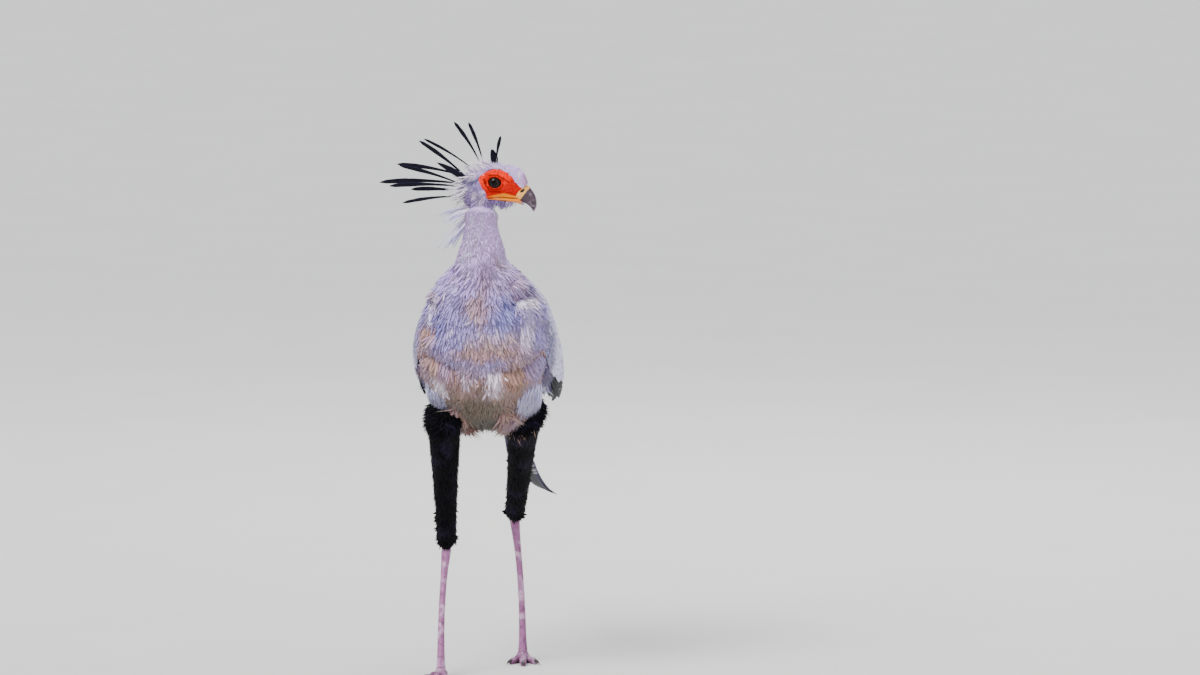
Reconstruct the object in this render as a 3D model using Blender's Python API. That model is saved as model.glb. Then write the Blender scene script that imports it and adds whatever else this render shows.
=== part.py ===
# Secretary bird, walking, head turned to its own left, at life size.
# Metres, +Z up, the bird faces -Y and its left side is +X. The soles rest on z = 0.
import math
import random

import bmesh
import bpy
from mathutils import Matrix, Vector
from mathutils.bvhtree import BVHTree

# Gaps and shared sizes
GAP = 0.0003
VANE_THICKNESS = 0.0011
VANE_STEP = 0.0013
SEED = 41

# Body and neck, from the tail root up to the head
# Each row: back y, back z, belly y, belly z, half width, sideways shift
TORSO_ROWS = [
    (0.285, 0.640, 0.270, 0.585, 0.040, 0.000),
    (0.215, 0.688, 0.205, 0.548, 0.075, 0.000),
    (0.125, 0.736, 0.110, 0.528, 0.106, 0.000),
    (0.035, 0.776, 0.005, 0.516, 0.125, 0.000),
    (-0.025, 0.806, -0.102, 0.536, 0.134, 0.000),
    (-0.058, 0.832, -0.184, 0.602, 0.138, 0.000),
    (-0.078, 0.850, -0.224, 0.692, 0.128, 0.001),
    (-0.092, 0.864, -0.234, 0.775, 0.103, 0.002),
]
NECK_ROWS = [
    (-0.092, 0.864, -0.234, 0.775, 0.103, 0.002),
    (-0.105, 0.896, -0.222, 0.848, 0.059, 0.004),
    (-0.113, 0.930, -0.204, 0.910, 0.0445, 0.005),
    (-0.119, 0.962, -0.195, 0.957, 0.036, 0.004),
    (-0.121, 1.000, -0.190, 0.993, 0.033, 0.004),
    (-0.124, 1.035, -0.187, 1.030, 0.031, 0.006),
]
BODY_SIDES = 20
# The shoulders lean to the bird's left: how far, at what height, over what reach
LEAN = 0.008
LEAN_AT = 0.785
LEAN_REACH = 0.085
NECK_SPLIT = 2
NECK_TOP = 4

# Head: its middle between the eyes, its turn to the left and its pitch down
HEAD_CENTRE = Vector((0.0346, -0.155, 1.045))
HEAD_TURN = math.radians(90)
HEAD_PITCH = math.radians(8)
# Each row: forward, crown height, throat height, half width
HEAD_ROWS = [
    (-0.0650, -0.0160, -0.0330, 0.011),
    (-0.0540, 0.0130, -0.0440, 0.023),
    (-0.0360, 0.0300, -0.0460, 0.031),
    (-0.0135, 0.0380, -0.0430, 0.032),
    (0.0105, 0.0392, -0.0380, 0.029),
    (0.0300, 0.0392, -0.0360, 0.024),
    (0.0440, 0.0350, -0.0350, 0.019),
    (0.0565, 0.0235, -0.0330, 0.015),
    (0.0665, 0.0060, -0.0300, 0.012),
]
HEAD_SIDES = 16
EYE_RADIUS = 0.0132
EYE_OUT = 0.0182
LID_LONG = 0.0140
LID_HIGH = 0.0112
LID_TUBE = 0.0026

# Bill: the slanted plane where it meets the face, then rows along its curve
# Each row: forward, up, half height, half width, slope in degrees
BILL_PLANE_AT = (0.0540, -0.010)
BILL_SLOPE = math.radians(-30)
UPPER_BILL_ROWS = [
    (0.0540, -0.0100, 0.0165, 0.0135, -30),
    (0.0645, -0.0142, 0.0150, 0.0115, -31),
    (0.0750, -0.0222, 0.0122, 0.0090, -48),
    (0.0825, -0.0315, 0.0084, 0.0063, -65),
    (0.0862, -0.0410, 0.0045, 0.0038, -78),
    (0.0866, -0.0495, 0.0008, 0.0008, -92),
]
LOWER_BILL_ROWS = [
    (0.0440, -0.0325, 0.0042, 0.0100, -12),
    (0.0525, -0.0345, 0.0037, 0.0082, -14),
    (0.0600, -0.0368, 0.0028, 0.0056, -15),
    (0.0655, -0.0388, 0.0008, 0.0018, -16),
]
BILL_SIDES = 14
NOSTRIL_AT = (0.0585, -0.0085)

# Crest, feather by feather in the head's own frame
# Each row: root forward, root up, tip forward, tip up, sideways at root and tip, width
CREST_ROWS = [
    (-0.0040, 0.0340, -0.0020, 0.0965, -0.006, -0.010, 0.0080),
    (-0.0045, 0.0300, -0.0280, 0.0625, 0.006, 0.012, 0.0140),
    (-0.0300, 0.0265, -0.0765, 0.1120, 0.008, 0.018, 0.0066),
    (-0.0300, 0.0240, -0.1015, 0.1125, -0.010, -0.022, 0.0066),
    (-0.0340, 0.0105, -0.1590, 0.0685, -0.012, -0.026, 0.0066),
    (-0.0420, -0.0180, -0.1750, 0.0575, 0.010, 0.028, 0.0094),
    (-0.0400, -0.0155, -0.1255, 0.0230, -0.016, -0.022, 0.0135),
    (-0.0450, -0.0040, -0.2150, 0.0015, 0.012, 0.034, 0.0094),
    (-0.0450, -0.0230, -0.2025, 0.0045, -0.010, -0.018, 0.0086),
    (-0.0450, -0.0165, -0.2440, -0.0405, 0.009, 0.022, 0.0106),
    (-0.0440, -0.0200, -0.2165, -0.0395, -0.012, -0.030, 0.0094),
    (-0.0480, -0.0330, -0.1780, -0.0460, 0.012, 0.030, 0.0094),
    (-0.0480, -0.0380, -0.1860, -0.0720, -0.008, -0.014, 0.0076),
]
CREST_THICKNESS = 0.0014

# Pale plumes down the hind neck
# Each row: height of the root, sideways turn of the root, length, drop of the tip
PLUME_ROWS = [
    (0.992, 0.20, 0.056, 0.018),
    (0.984, -0.25, 0.046, 0.020),
    (0.982, 0.70, 0.050, 0.030),
    (0.977, 0.10, 0.062, 0.062),
    (0.968, 0.50, 0.050, 0.052),
    (0.963, -0.20, 0.040, 0.042),
]
PLUME_WIDTH = 0.011

# Folded wing, a curved sheet from the wing bend back to the tips of the primaries
# Each row: upper edge y and z, lower edge y and z, then x at upper edge, middle and lower edge
WING_ROWS = [
    (-0.108, 0.826, -0.138, 0.728, 0.096, 0.147, 0.120),
    (-0.058, 0.834, -0.112, 0.648, 0.088, 0.180, 0.138),
    (0.030, 0.808, -0.015, 0.588, 0.070, 0.195, 0.147),
    (0.130, 0.762, 0.100, 0.564, 0.054, 0.180, 0.141),
    (0.230, 0.704, 0.230, 0.547, 0.045, 0.154, 0.122),
    (0.330, 0.640, 0.360, 0.528, 0.042, 0.112, 0.096),
    (0.410, 0.578, 0.462, 0.508, 0.046, 0.082, 0.075),
]
WING_RINGS = 9
WING_SIDES = 7
WING_ROUND = 0.10
WING_CORE_END = 0.62
# Tiers of wing feathers, from the shoulder back. Places run 0 to 1 back along the wing.
# count, first and last place down the wing, root place at top and bottom,
# tip place at top and bottom, height of the tier over the sheet
WING_TIERS = {
    "lesser": (6, 0.14, 0.86, 0.04, 0.03, 0.18, 0.16, 0.0000),
    "median": (7, 0.12, 0.90, 0.13, 0.11, 0.35, 0.30, -0.0035),
    "greater": (8, 0.11, 0.92, 0.25, 0.21, 0.54, 0.47, -0.0070),
    "secondary": (9, 0.10, 0.93, 0.36, 0.31, 0.82, 0.70, -0.0105),
    "primary": (7, 0.38, 0.93, 0.50, 0.45, 1.00, 0.86, -0.0140),
}
WING_VANE_SPREAD = 0.95
# Share of the way along a wing feather, and its width there
LONG_VANE_SHAPE = ((0.0, 0.55), (0.18, 0.85), (0.42, 1.0), (0.70, 1.0), (0.90, 0.74))
SHORT_VANE_SHAPE = ((0.0, 0.65), (0.30, 0.95), (0.65, 1.0), (0.90, 0.74))
LONG_TIERS = ("secondary", "primary")

# Tail: the path of the two long middle feathers from the rump to their tips
TAIL_ROWS = [
    (0.000, 0.272, 0.622),
    (0.000, 0.335, 0.545),
    (0.001, 0.420, 0.458),
    (0.003, 0.560, 0.370),
    (0.008, 0.740, 0.306),
    (0.011, 0.920, 0.266),
]

TAIL_ROOT_END = 1.15
TAIL_STEP = 0.0015
TAIL_FEATHER_START = 0.60
TAIL_STATION = 0.55
# Each pair of tail feathers: tip place on the path, sideways place of the tip, width
TAIL_PAIRS = [
    (5.00, 0.004, 0.040),
    (3.35, 0.006, 0.044),
    (3.18, 0.008, 0.044),
    (2.96, 0.010, 0.042),
    (2.72, 0.012, 0.040),
    (2.46, 0.014, 0.038),
]
TAIL_TWIST = math.radians(-24)
TAIL_TWIST_FROM = 3.0

# Shaggy feathers of belly and flanks
# Each row: place on the body, first and last angle under it, count, length, width
BELLY_ROWS = [
    (4.60, -140, -40, 6, 0.060, 0.021),
    (3.90, -158, -22, 9, 0.066, 0.021),
    (3.20, -150, -30, 8, 0.064, 0.020),
    (2.40, -146, -34, 6, 0.060, 0.019),
    (1.60, -140, -40, 4, 0.055, 0.018),
]
LOCK_THICKNESS = 0.0042
LOCK_LEG_ROOM = 0.046
HEM_LOCKS = 9

# Legs. Joint places: hip, knee, ankle and toe root
LEGS = {
    "right": {
        "hip": Vector((-0.070, 0.010, 0.650)),
        "knee": Vector((-0.081, -0.110, 0.548)),
        "ankle": Vector((-0.0935, 0.013, 0.257)),
        "toes": Vector((-0.084, -0.145, 0.016)),
        "shank_bow": -0.004,
        "toe_out": math.radians(-6),
    },
    "left": {
        "hip": Vector((0.070, 0.035, 0.650)),
        "knee": Vector((0.082, -0.045, 0.555)),
        "ankle": Vector((0.0315, 0.155, 0.303)),
        "toes": Vector((0.052, 0.135, 0.016)),
        "shank_bow": 0.005,
        "toe_out": math.radians(8),
    },
}
# Each row: share of the way from knee to ankle, half width, half depth
TROUSER_ROWS = [
    (-0.20, 0.024, 0.044),
    (-0.10, 0.038, 0.064),
    (0.00, 0.0365, 0.062),
    (0.20, 0.0300, 0.048),
    (0.45, 0.0255, 0.036),
    (0.70, 0.0218, 0.027),
    (0.93, 0.0200, 0.0225),
]
TROUSER_SIDES = 14
# Each row: share of the way from ankle to toes, half width, half depth
SHANK_ROWS = [
    (0.00, 0.0098, 0.0125),
    (0.05, 0.0100, 0.0130),
    (0.14, 0.0082, 0.0098),
    (0.30, 0.0068, 0.0080),
    (0.60, 0.0068, 0.0078),
    (0.85, 0.0078, 0.0086),
    (0.990, 0.0096, 0.0104),
]
SHANK_SIDES = 8
SHANK_SCUTES = 13
SCUTE_RISE = 0.0005
# Each toe: turn from straight ahead in degrees, length, root and end radius
TOES = {
    "middle": (0, 0.076, 0.0090, 0.0066),
    "inner": (-27, 0.054, 0.0084, 0.0062),
    "outer": (27, 0.056, 0.0084, 0.0062),
    "hind": (180, 0.036, 0.0078, 0.0060),
}
CLAW_LENGTH = {"middle": 0.021, "inner": 0.020, "outer": 0.018, "hind": 0.019}

COLOURS = {
    "grey feather": ((0.42, 0.41, 0.47, 1.0), 0.80),
    "breast feather": ((0.50, 0.46, 0.46, 1.0), 0.85),
    "wing feather": ((0.24, 0.25, 0.30, 1.0), 0.70),
    "tail feather": ((0.36, 0.36, 0.38, 1.0), 0.70),
    "black feather": ((0.015, 0.014, 0.017, 1.0), 0.70),
    "pink scute": ((0.42, 0.25, 0.31, 1.0), 0.55),
    "dark horn": ((0.09, 0.07, 0.08, 1.0), 0.40),
    "slate horn": ((0.16, 0.13, 0.15, 1.0), 0.35),
    "yellow horn": ((0.70, 0.42, 0.06, 1.0), 0.40),
    "eye": ((0.02, 0.012, 0.008, 1.0), 0.08),
}


def clear_scene():
    for item in list(bpy.data.objects):
        bpy.data.objects.remove(item, do_unlink=True)
    for group in list(bpy.data.collections):
        bpy.data.collections.remove(group)


def material(name):
    found = bpy.data.materials.get(name)
    if found:
        return found
    colour, roughness = COLOURS[name]
    made = bpy.data.materials.new(name)
    made.use_nodes = True
    shader = made.node_tree.nodes["Principled BSDF"]
    shader.inputs["Base Color"].default_value = colour
    shader.inputs["Roughness"].default_value = roughness
    shader.inputs["Metallic"].default_value = 0.0
    return made


def along(rows, place):
    # Smooth value between rows of numbers; place counts rows
    last = len(rows) - 1
    at = max(0, min(int(place), last - 1))
    t = place - at
    before = rows[max(at - 1, 0)]
    after = rows[min(at + 2, last)]
    values = []
    for a, b, c, d in zip(before, rows[at], rows[at + 1], after):
        bend = (c - a) * t + (2 * a - 5 * b + 4 * c - d) * t * t + (3 * b - a - 3 * c + d) * t ** 3
        values.append(b + 0.5 * bend)
    return values


def mesh_object(name, points, faces):
    mesh = bmesh.new()
    corners = [mesh.verts.new(point) for point in points]
    for face in faces:
        mesh.faces.new([corners[i] for i in face])
    bmesh.ops.triangulate(mesh, faces=mesh.faces)
    bmesh.ops.recalc_face_normals(mesh, faces=mesh.faces)
    data = bpy.data.meshes.new(name)
    mesh.to_mesh(data)
    mesh.free()
    item = bpy.data.objects.new(name, data)
    bpy.context.scene.collection.objects.link(item)
    return item


def loft(name, rings):
    # Closed body through rings of equal count, with flat ends
    count = len(rings[0])
    points = [point for ring in rings for point in ring]
    faces = []
    for level in range(len(rings) - 1):
        low = level * count
        high = low + count
        for i in range(count):
            j = (i + 1) % count
            faces.append((low + i, low + j, high + j, high + i))
    faces.append(tuple(range(count - 1, -1, -1)))
    top = (len(rings) - 1) * count
    faces.append(tuple(range(top, top + count)))
    return mesh_object(name, points, faces)


def vane(name, sections, tip):
    # Thin feather: each section is left edge, top, right edge and bottom of the shaft line
    points = [point for section in sections for point in section] + [tip]
    faces = []
    for level in range(len(sections) - 1):
        near = level * 4
        far = near + 4
        for edge, ridge in ((0, 1), (2, 1), (2, 3), (0, 3)):
            faces.append((near + edge, near + ridge, far + ridge))
            faces.append((near + edge, far + ridge, far + edge))
    end = (len(sections) - 1) * 4
    for i in range(4):
        faces.append((end + i, end + (i + 1) % 4, len(points) - 1))
    faces.append((0, 1, 3))
    faces.append((1, 2, 3))
    return mesh_object(name, points, faces)


def free_vane(name, path, side, widths, thicknesses):
    # Feather or lock on its own path; side is the direction of its width
    sections = []
    for i, point in enumerate(path[:-1]):
        ahead = (path[i + 1] - path[max(i - 1, 0)]).normalized()
        across = (side - ahead * side.dot(ahead)).normalized()
        lift = ahead.cross(across)
        half = across * widths[i] * 0.5
        rise = lift * thicknesses[i] * 0.5
        sections.append((point - half, point + rise, point + half, point - rise))
    return vane(name, sections, path[-1])


def curved_path(root, tip, sag, count):
    # Points from root to tip that bow by the vector sag
    points = []
    for i in range(count):
        t = i / (count - 1)
        points.append(root.lerp(tip, t) + sag * (4 * t * (1 - t)))
    return points


def apply_modifiers(item):
    graph = bpy.context.evaluated_depsgraph_get()
    graph.update()
    data = bpy.data.meshes.new_from_object(item.evaluated_get(graph))
    item.modifiers.clear()
    item.data = data


def keep_largest(item):
    # Only the largest closed surface stays, as one body of triangles
    mesh = bmesh.new()
    mesh.from_mesh(item.data)
    bmesh.ops.triangulate(mesh, faces=mesh.faces)
    bmesh.ops.dissolve_degenerate(mesh, dist=0.000002, edges=mesh.edges)
    bmesh.ops.triangulate(mesh, faces=mesh.faces)
    unseen = set(mesh.faces)
    shells = []
    while unseen:
        stack = [unseen.pop()]
        shell = list(stack)
        while stack:
            face = stack.pop()
            for edge in face.edges:
                for other in edge.link_faces:
                    if other in unseen:
                        unseen.discard(other)
                        shell.append(other)
                        stack.append(other)
        shells.append(shell)

    def volume(shell):
        return sum(f.calc_area() * f.normal.dot(f.calc_center_median()) for f in shell)

    shells.sort(key=volume)
    loose = [face for shell in shells[:-1] for face in shell]
    bmesh.ops.delete(mesh, geom=loose, context="FACES")
    mesh.to_mesh(item.data)
    mesh.free()


def fuse(item, pieces, solver="EXACT"):
    # One union of the item with all its closed pieces, which are then removed
    group = bpy.data.collections.new(item.name + "_pieces")
    bpy.context.scene.collection.children.link(group)
    for piece in pieces:
        bpy.context.scene.collection.objects.unlink(piece)
        group.objects.link(piece)
    join = item.modifiers.new("join", "BOOLEAN")
    join.operation = "UNION"
    join.operand_type = "COLLECTION"
    join.collection = group
    join.solver = solver
    apply_modifiers(item)
    for piece in pieces:
        bpy.data.objects.remove(piece, do_unlink=True)
    bpy.data.collections.remove(group)
    keep_largest(item)


def cut(item, cutter, solver="EXACT"):
    # Take the cutter out of the item and remove the cutter
    carve = item.modifiers.new("carve", "BOOLEAN")
    carve.operation = "DIFFERENCE"
    carve.object = cutter
    carve.solver = solver
    apply_modifiers(item)
    bpy.data.objects.remove(cutter, do_unlink=True)
    keep_largest(item)


def swollen(item, gap):
    # Copy of a body, grown by the gap along its own normals
    grown = item.copy()
    grown.data = item.data.copy()
    bpy.context.scene.collection.objects.link(grown)
    mesh = bmesh.new()
    mesh.from_mesh(grown.data)
    mesh.normal_update()
    moves = [vertex.normal * gap * vertex.calc_shell_factor() for vertex in mesh.verts]
    for vertex, move in zip(mesh.verts, moves):
        vertex.co += move
    mesh.to_mesh(grown.data)
    mesh.free()
    return grown


def half_space(point, normal, size=1.0):
    # Large block whose one face lies on the plane and which fills the side of the normal
    mesh = bmesh.new()
    bmesh.ops.create_cube(mesh, size=size)
    turn = normal.to_track_quat("Z", "Y").to_matrix().to_4x4()
    shift = Matrix.Translation(point + normal.normalized() * size * 0.5)
    bmesh.ops.transform(mesh, matrix=shift @ turn, verts=mesh.verts)
    data = bpy.data.meshes.new("half space")
    mesh.to_mesh(data)
    mesh.free()
    item = bpy.data.objects.new("half space", data)
    bpy.context.scene.collection.objects.link(item)
    return item


def finish(item, name, material_name):
    item.name = name
    item.data.name = name
    item.data.materials.clear()
    item.data.materials.append(material(material_name))
    item.data.shade_smooth()
    item.data.set_sharp_from_angle(angle=math.radians(50))
    for group in list(item.users_collection):
        group.objects.unlink(item)
    bpy.data.collections["secretary_bird"].objects.link(item)
    return item


def centre_on_origin(items):
    # The origin is the middle of the whole bird's box, on the floor
    points = [vertex.co for item in items for vertex in item.data.vertices]
    middle_x = 0.5 * (min(p.x for p in points) + max(p.x for p in points))
    middle_y = 0.5 * (min(p.y for p in points) + max(p.y for p in points))
    for item in items:
        item.data.transform(Matrix.Translation((-middle_x, -middle_y, 0.0)))


def lean(z):
    return LEAN * max(0.0, 1.0 - abs(z - LEAN_AT) / LEAN_REACH)


def body_point(rows, place, angle):
    # Point on the body or neck; the angle is 90 degrees at the back and -90 at the belly
    back_y, back_z, belly_y, belly_z, half_width, shift = along(rows, place)
    across = math.cos(angle)
    up = math.sin(angle)
    round_out = abs(across) ** 0.88
    x = shift + math.copysign(round_out * half_width, across)
    middle = 0.5 + 0.5 * up
    y = belly_y + (back_y - belly_y) * middle
    z = belly_z + (back_z - belly_z) * middle
    return Vector((x + lean(z), y, z))


def body_ring(rows, place, sides=BODY_SIDES):
    return [body_point(rows, place, 2 * math.pi * i / sides) for i in range(sides)]


def ring_shift(ring, distance):
    # Move a flat ring along its own normal
    normal = (ring[1] - ring[0]).cross(ring[5] - ring[0]).normalized()
    return [point + normal * distance for point in ring]


def make_torso():
    last = len(TORSO_ROWS) - 1
    steps = 18
    rings = [body_ring(TORSO_ROWS, last * i / steps) for i in range(steps + 1)]
    return loft("torso", rings)


def make_neck(name, start, end, steps):
    rings = [body_ring(NECK_ROWS, start + (end - start) * i / steps) for i in range(steps + 1)]
    rings[0] = ring_shift(rings[0], GAP * gap_sign(rings))
    return loft(name, rings)


def gap_sign(rings):
    # Plus or minus one, so that a shifted first ring moves towards the second
    normal = (rings[0][1] - rings[0][0]).cross(rings[0][5] - rings[0][0])
    ahead = sum(rings[1], Vector()) - sum(rings[0], Vector())
    return math.copysign(1.0, normal.dot(ahead))


def head_frame():
    # Axes of the head: forward, left and up
    forward = Vector((math.sin(HEAD_TURN), -math.cos(HEAD_TURN), 0.0))
    left = Vector((0.0, 0.0, 1.0)).cross(forward)
    up = Vector((0.0, 0.0, 1.0))
    nose = forward * math.cos(HEAD_PITCH) - up * math.sin(HEAD_PITCH)
    crown = up * math.cos(HEAD_PITCH) + forward * math.sin(HEAD_PITCH)
    return nose, left, crown


def on_head(forward, left, up):
    nose, side, crown = head_frame()
    return HEAD_CENTRE + nose * forward + side * left + crown * up


def head_place(forward):
    # Row place on the head for a distance ahead of the eyes
    for i in range(len(HEAD_ROWS) - 1):
        near = HEAD_ROWS[i][0]
        far = HEAD_ROWS[i + 1][0]
        if forward <= far:
            return i + max(0.0, (forward - near) / (far - near))
    return len(HEAD_ROWS) - 1.0


def head_ring(place):
    forward, top, bottom, half = along(HEAD_ROWS, place)
    ring = []
    for i in range(HEAD_SIDES):
        angle = 2 * math.pi * i / HEAD_SIDES
        across = math.cos(angle)
        up = math.sin(angle)
        share = 0.5 + 0.5 * up
        width = half * math.copysign(abs(across) ** 0.9, across) * (0.90 + 0.10 * up)
        ring.append(on_head(forward, width, bottom + (top - bottom) * share))
    return ring


def ellipsoid(name, centre, axes, radii, segments, rings):
    mesh = bmesh.new()
    bmesh.ops.create_uvsphere(mesh, u_segments=segments, v_segments=rings, radius=1.0)
    for vertex in mesh.verts:
        local = vertex.co.copy()
        vertex.co = centre + sum((axis * local[i] * radii[i] for i, axis in enumerate(axes)), Vector())
    bmesh.ops.recalc_face_normals(mesh, faces=mesh.faces)
    data = bpy.data.meshes.new(name)
    mesh.to_mesh(data)
    mesh.free()
    item = bpy.data.objects.new(name, data)
    bpy.context.scene.collection.objects.link(item)
    return item


def eye_ball(side, grow=0.0):
    nose, left, crown = head_frame()
    centre = on_head(0.0, side * EYE_OUT, 0.0)
    radius = EYE_RADIUS + grow
    return ellipsoid("eye", centre, (nose, crown, left), (radius, radius, radius), 14, 8)


def lid_rim(side):
    # Ring of skin round the eye, heavier above than below
    nose, left, crown = head_frame()
    rings = []
    count = 14
    for i in range(count):
        turn = 2 * math.pi * i / count
        heavy = LID_TUBE * (1.0 + 0.35 * max(0.0, math.sin(turn)))
        out = 0.0268 - 0.0016 * math.cos(turn)
        middle = on_head(LID_LONG * math.cos(turn), side * out, LID_HIGH * math.sin(turn))
        radial = (nose * math.cos(turn) + crown * math.sin(turn)).normalized()
        ring = []
        for k in range(6):
            round_turn = 2 * math.pi * k / 6
            ring.append(middle + radial * heavy * math.cos(round_turn)
                        + left * heavy * 1.3 * math.sin(round_turn))
        rings.append(ring)
    points = [point for ring in rings for point in ring]
    faces = []
    for i in range(count):
        low = i * 6
        high = ((i + 1) % count) * 6
        for k in range(6):
            n = (k + 1) % 6
            faces.append((low + k, low + n, high + n, high + k))
    return mesh_object("lid", points, faces)


def crest_feather(row):
    root_f, root_u, tip_f, tip_u, side_root, side_tip, width = row
    root = on_head(root_f, side_root, root_u)
    tip = on_head(tip_f, side_tip, tip_u)
    nose, left, crown = head_frame()
    ahead = (tip - root).normalized()
    upright = (crown * 0.9 - nose * 0.1)
    across = (upright - ahead * upright.dot(ahead)).normalized()
    sag = across * (root - tip).length * 0.035
    path = curved_path(root, tip, sag, 6)
    shares = (0.30, 0.32, 0.60, 0.98, 0.90)
    widths = [width * share for share in shares]
    thick = [CREST_THICKNESS * s for s in (1.5, 1.3, 1.1, 1.0, 0.8)]
    return free_vane("crest", path, across, widths, thick)


def mouth_slit(side):
    # Thin wedge that cuts the line of the mouth into one side of the head
    line = ((-0.0135, -0.0335), (0.010, -0.0290), (0.034, -0.0285), (0.060, -0.0315))
    rings = []
    for forward, up in line:
        half = along(HEAD_ROWS, head_place(forward))[3] * 0.80
        inner = half - 0.0060
        outer = half + 0.0200
        rings.append([
            on_head(forward, side * inner, up),
            on_head(forward, side * outer, up + 0.0016),
            on_head(forward, side * outer, up - 0.0016),
        ])
    return loft("mouth", rings)


def make_head():
    last = len(HEAD_ROWS) - 1
    steps = 14
    head = loft("head", [head_ring(last * i / steps) for i in range(steps + 1)])
    stub_rows = len(NECK_ROWS) - 1
    stub = loft("stub", [body_ring(NECK_ROWS, place) for place in (3.8, 4.2, 4.6, stub_rows)])
    pieces = [stub] + [lid_rim(side) for side in (-1, 1)]
    pieces += [crest_feather(row) for row in CREST_ROWS]
    fuse(head, pieces)
    nose, left, crown = head_frame()
    face = nose * math.cos(BILL_SLOPE) + crown * math.sin(BILL_SLOPE)
    cut(head, half_space(on_head(BILL_PLANE_AT[0], 0.0, BILL_PLANE_AT[1]), face, 0.2))
    ring = body_ring(NECK_ROWS, NECK_TOP)
    down = (ring[1] - ring[0]).cross(ring[5] - ring[0]).normalized()
    if down.z > 0:
        down = -down
    cut(head, half_space(ring[0] - down * GAP, down, 0.3))
    for side in (-1, 1):
        cut(head, eye_ball(side, GAP))
        cut(head, mouth_slit(side))
    return head


def bill_ring(row, trim=0.0):
    forward, up, half_height, half_width, slope = row
    slope = math.radians(slope)
    rise_f = -math.sin(slope)
    rise_u = math.cos(slope)
    ring = []
    for i in range(BILL_SIDES):
        angle = 2 * math.pi * i / BILL_SIDES
        high = math.sin(angle)
        wide = math.cos(angle) * (1.0 - 0.12 * high)
        reach = high * half_height
        ring.append(on_head(
            forward + rise_f * reach + trim * math.cos(slope),
            wide * half_width,
            up + rise_u * reach + trim * math.sin(slope)))
    return ring


def make_bill(name, rows, steps):
    last = len(rows) - 1
    rings = []
    for i in range(steps + 1):
        start = GAP if i == 0 else 0.0
        rings.append(bill_ring(along(rows, last * i / steps), start))
    return loft(name, rings)


def nostril(side):
    nose, left, crown = head_frame()
    ahead = (nose * 0.86 + crown * 0.5).normalized()
    above = ahead.cross(left).normalized()
    centre = on_head(NOSTRIL_AT[0], side * 0.0128, NOSTRIL_AT[1])
    return ellipsoid("nostril", centre, (ahead, above, left), (0.0046, 0.0014, 0.0030), 10, 6)


def make_upper_bill():
    bill = make_bill("bill_upper", UPPER_BILL_ROWS, 10)
    for side in (-1, 1):
        cut(bill, nostril(side))
    return bill


def make_plumes():
    # Long pale feathers that leave the back of the turned neck
    plumes = []
    for height, turn, length, drop in PLUME_ROWS:
        place = 3.0 + (height - 0.960) / 0.036
        middle = sum(body_ring(NECK_ROWS, place), Vector()) / BODY_SIDES
        out = Vector((-math.cos(turn), math.sin(turn), 0.0))
        root = middle + out * 0.026
        tip = root + out * length + Vector((0.0, 0.0, -drop))
        sag = Vector((0.0, 0.0, 0.004))
        path = curved_path(root, tip, sag, 5)
        across = out.cross(Vector((0.0, 0.0, 1.0)))
        side = (across + Vector((0.0, 0.0, 0.8))).normalized()
        widths = [PLUME_WIDTH * share for share in (0.8, 1.0, 0.8, 0.45)]
        plumes.append(free_vane("plume", path, side, widths, [0.0030, 0.0024, 0.0018, 0.0012]))
    return plumes


def wing_point(side, s, v, h):
    # Point on the folded wing: s runs back, v runs down, h is the height over the sheet
    def flat(s_at, v_at):
        row = along(WING_ROWS, s_at * (len(WING_ROWS) - 1))
        top_y, top_z, low_y, low_z, top_x, mid_x, low_x = row
        x = (1 - v_at) ** 2 * top_x + 2 * v_at * (1 - v_at) * mid_x + v_at ** 2 * low_x
        z = top_z + (low_z - top_z) * v_at
        return Vector((side * x + lean(z), top_y + (low_y - top_y) * v_at, z))

    step = 0.01
    here = flat(s, v)
    back = flat(s + step, v) - flat(s - step, v)
    down = flat(s, v + step) - flat(s, v - step)
    out = back.cross(down).normalized()
    if out.x * side < 0:
        out = -out
    return here + out * h


def core_level(s):
    # Height of the wing's firm part under the feathers
    return -0.0005 - 0.031 * s


def round_off(share):
    share = max(0.0, min(1.0, share))
    return math.sqrt(1.0 - (1.0 - share) ** 2)


def wing_core(side, name):
    # The firm part of the wing, a wedge that thins towards the tips
    rings = []
    for k in range(WING_RINGS + 1):
        s = WING_CORE_END * k / WING_RINGS
        front = max(0.25, round_off(s / WING_ROUND))
        full = front * max(0.20, round_off((WING_CORE_END - s) / WING_ROUND))
        top = core_level(s) - 0.010 * (1 - front)
        depth = (0.030 - 0.026 * s) * full
        ring = []
        for i in range(WING_SIDES):
            v = 0.5 + (i / (WING_SIDES - 1) - 0.5) * (0.35 + 0.63 * full)
            ring.append(wing_point(side, s, v, top))
        for i in range(WING_SIDES):
            v = 0.5 - (i / (WING_SIDES - 1) - 0.5) * (0.30 + 0.60 * full)
            ring.append(wing_point(side, s, v, top - depth))
        rings.append(ring)
    return loft(name, rings)


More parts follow.
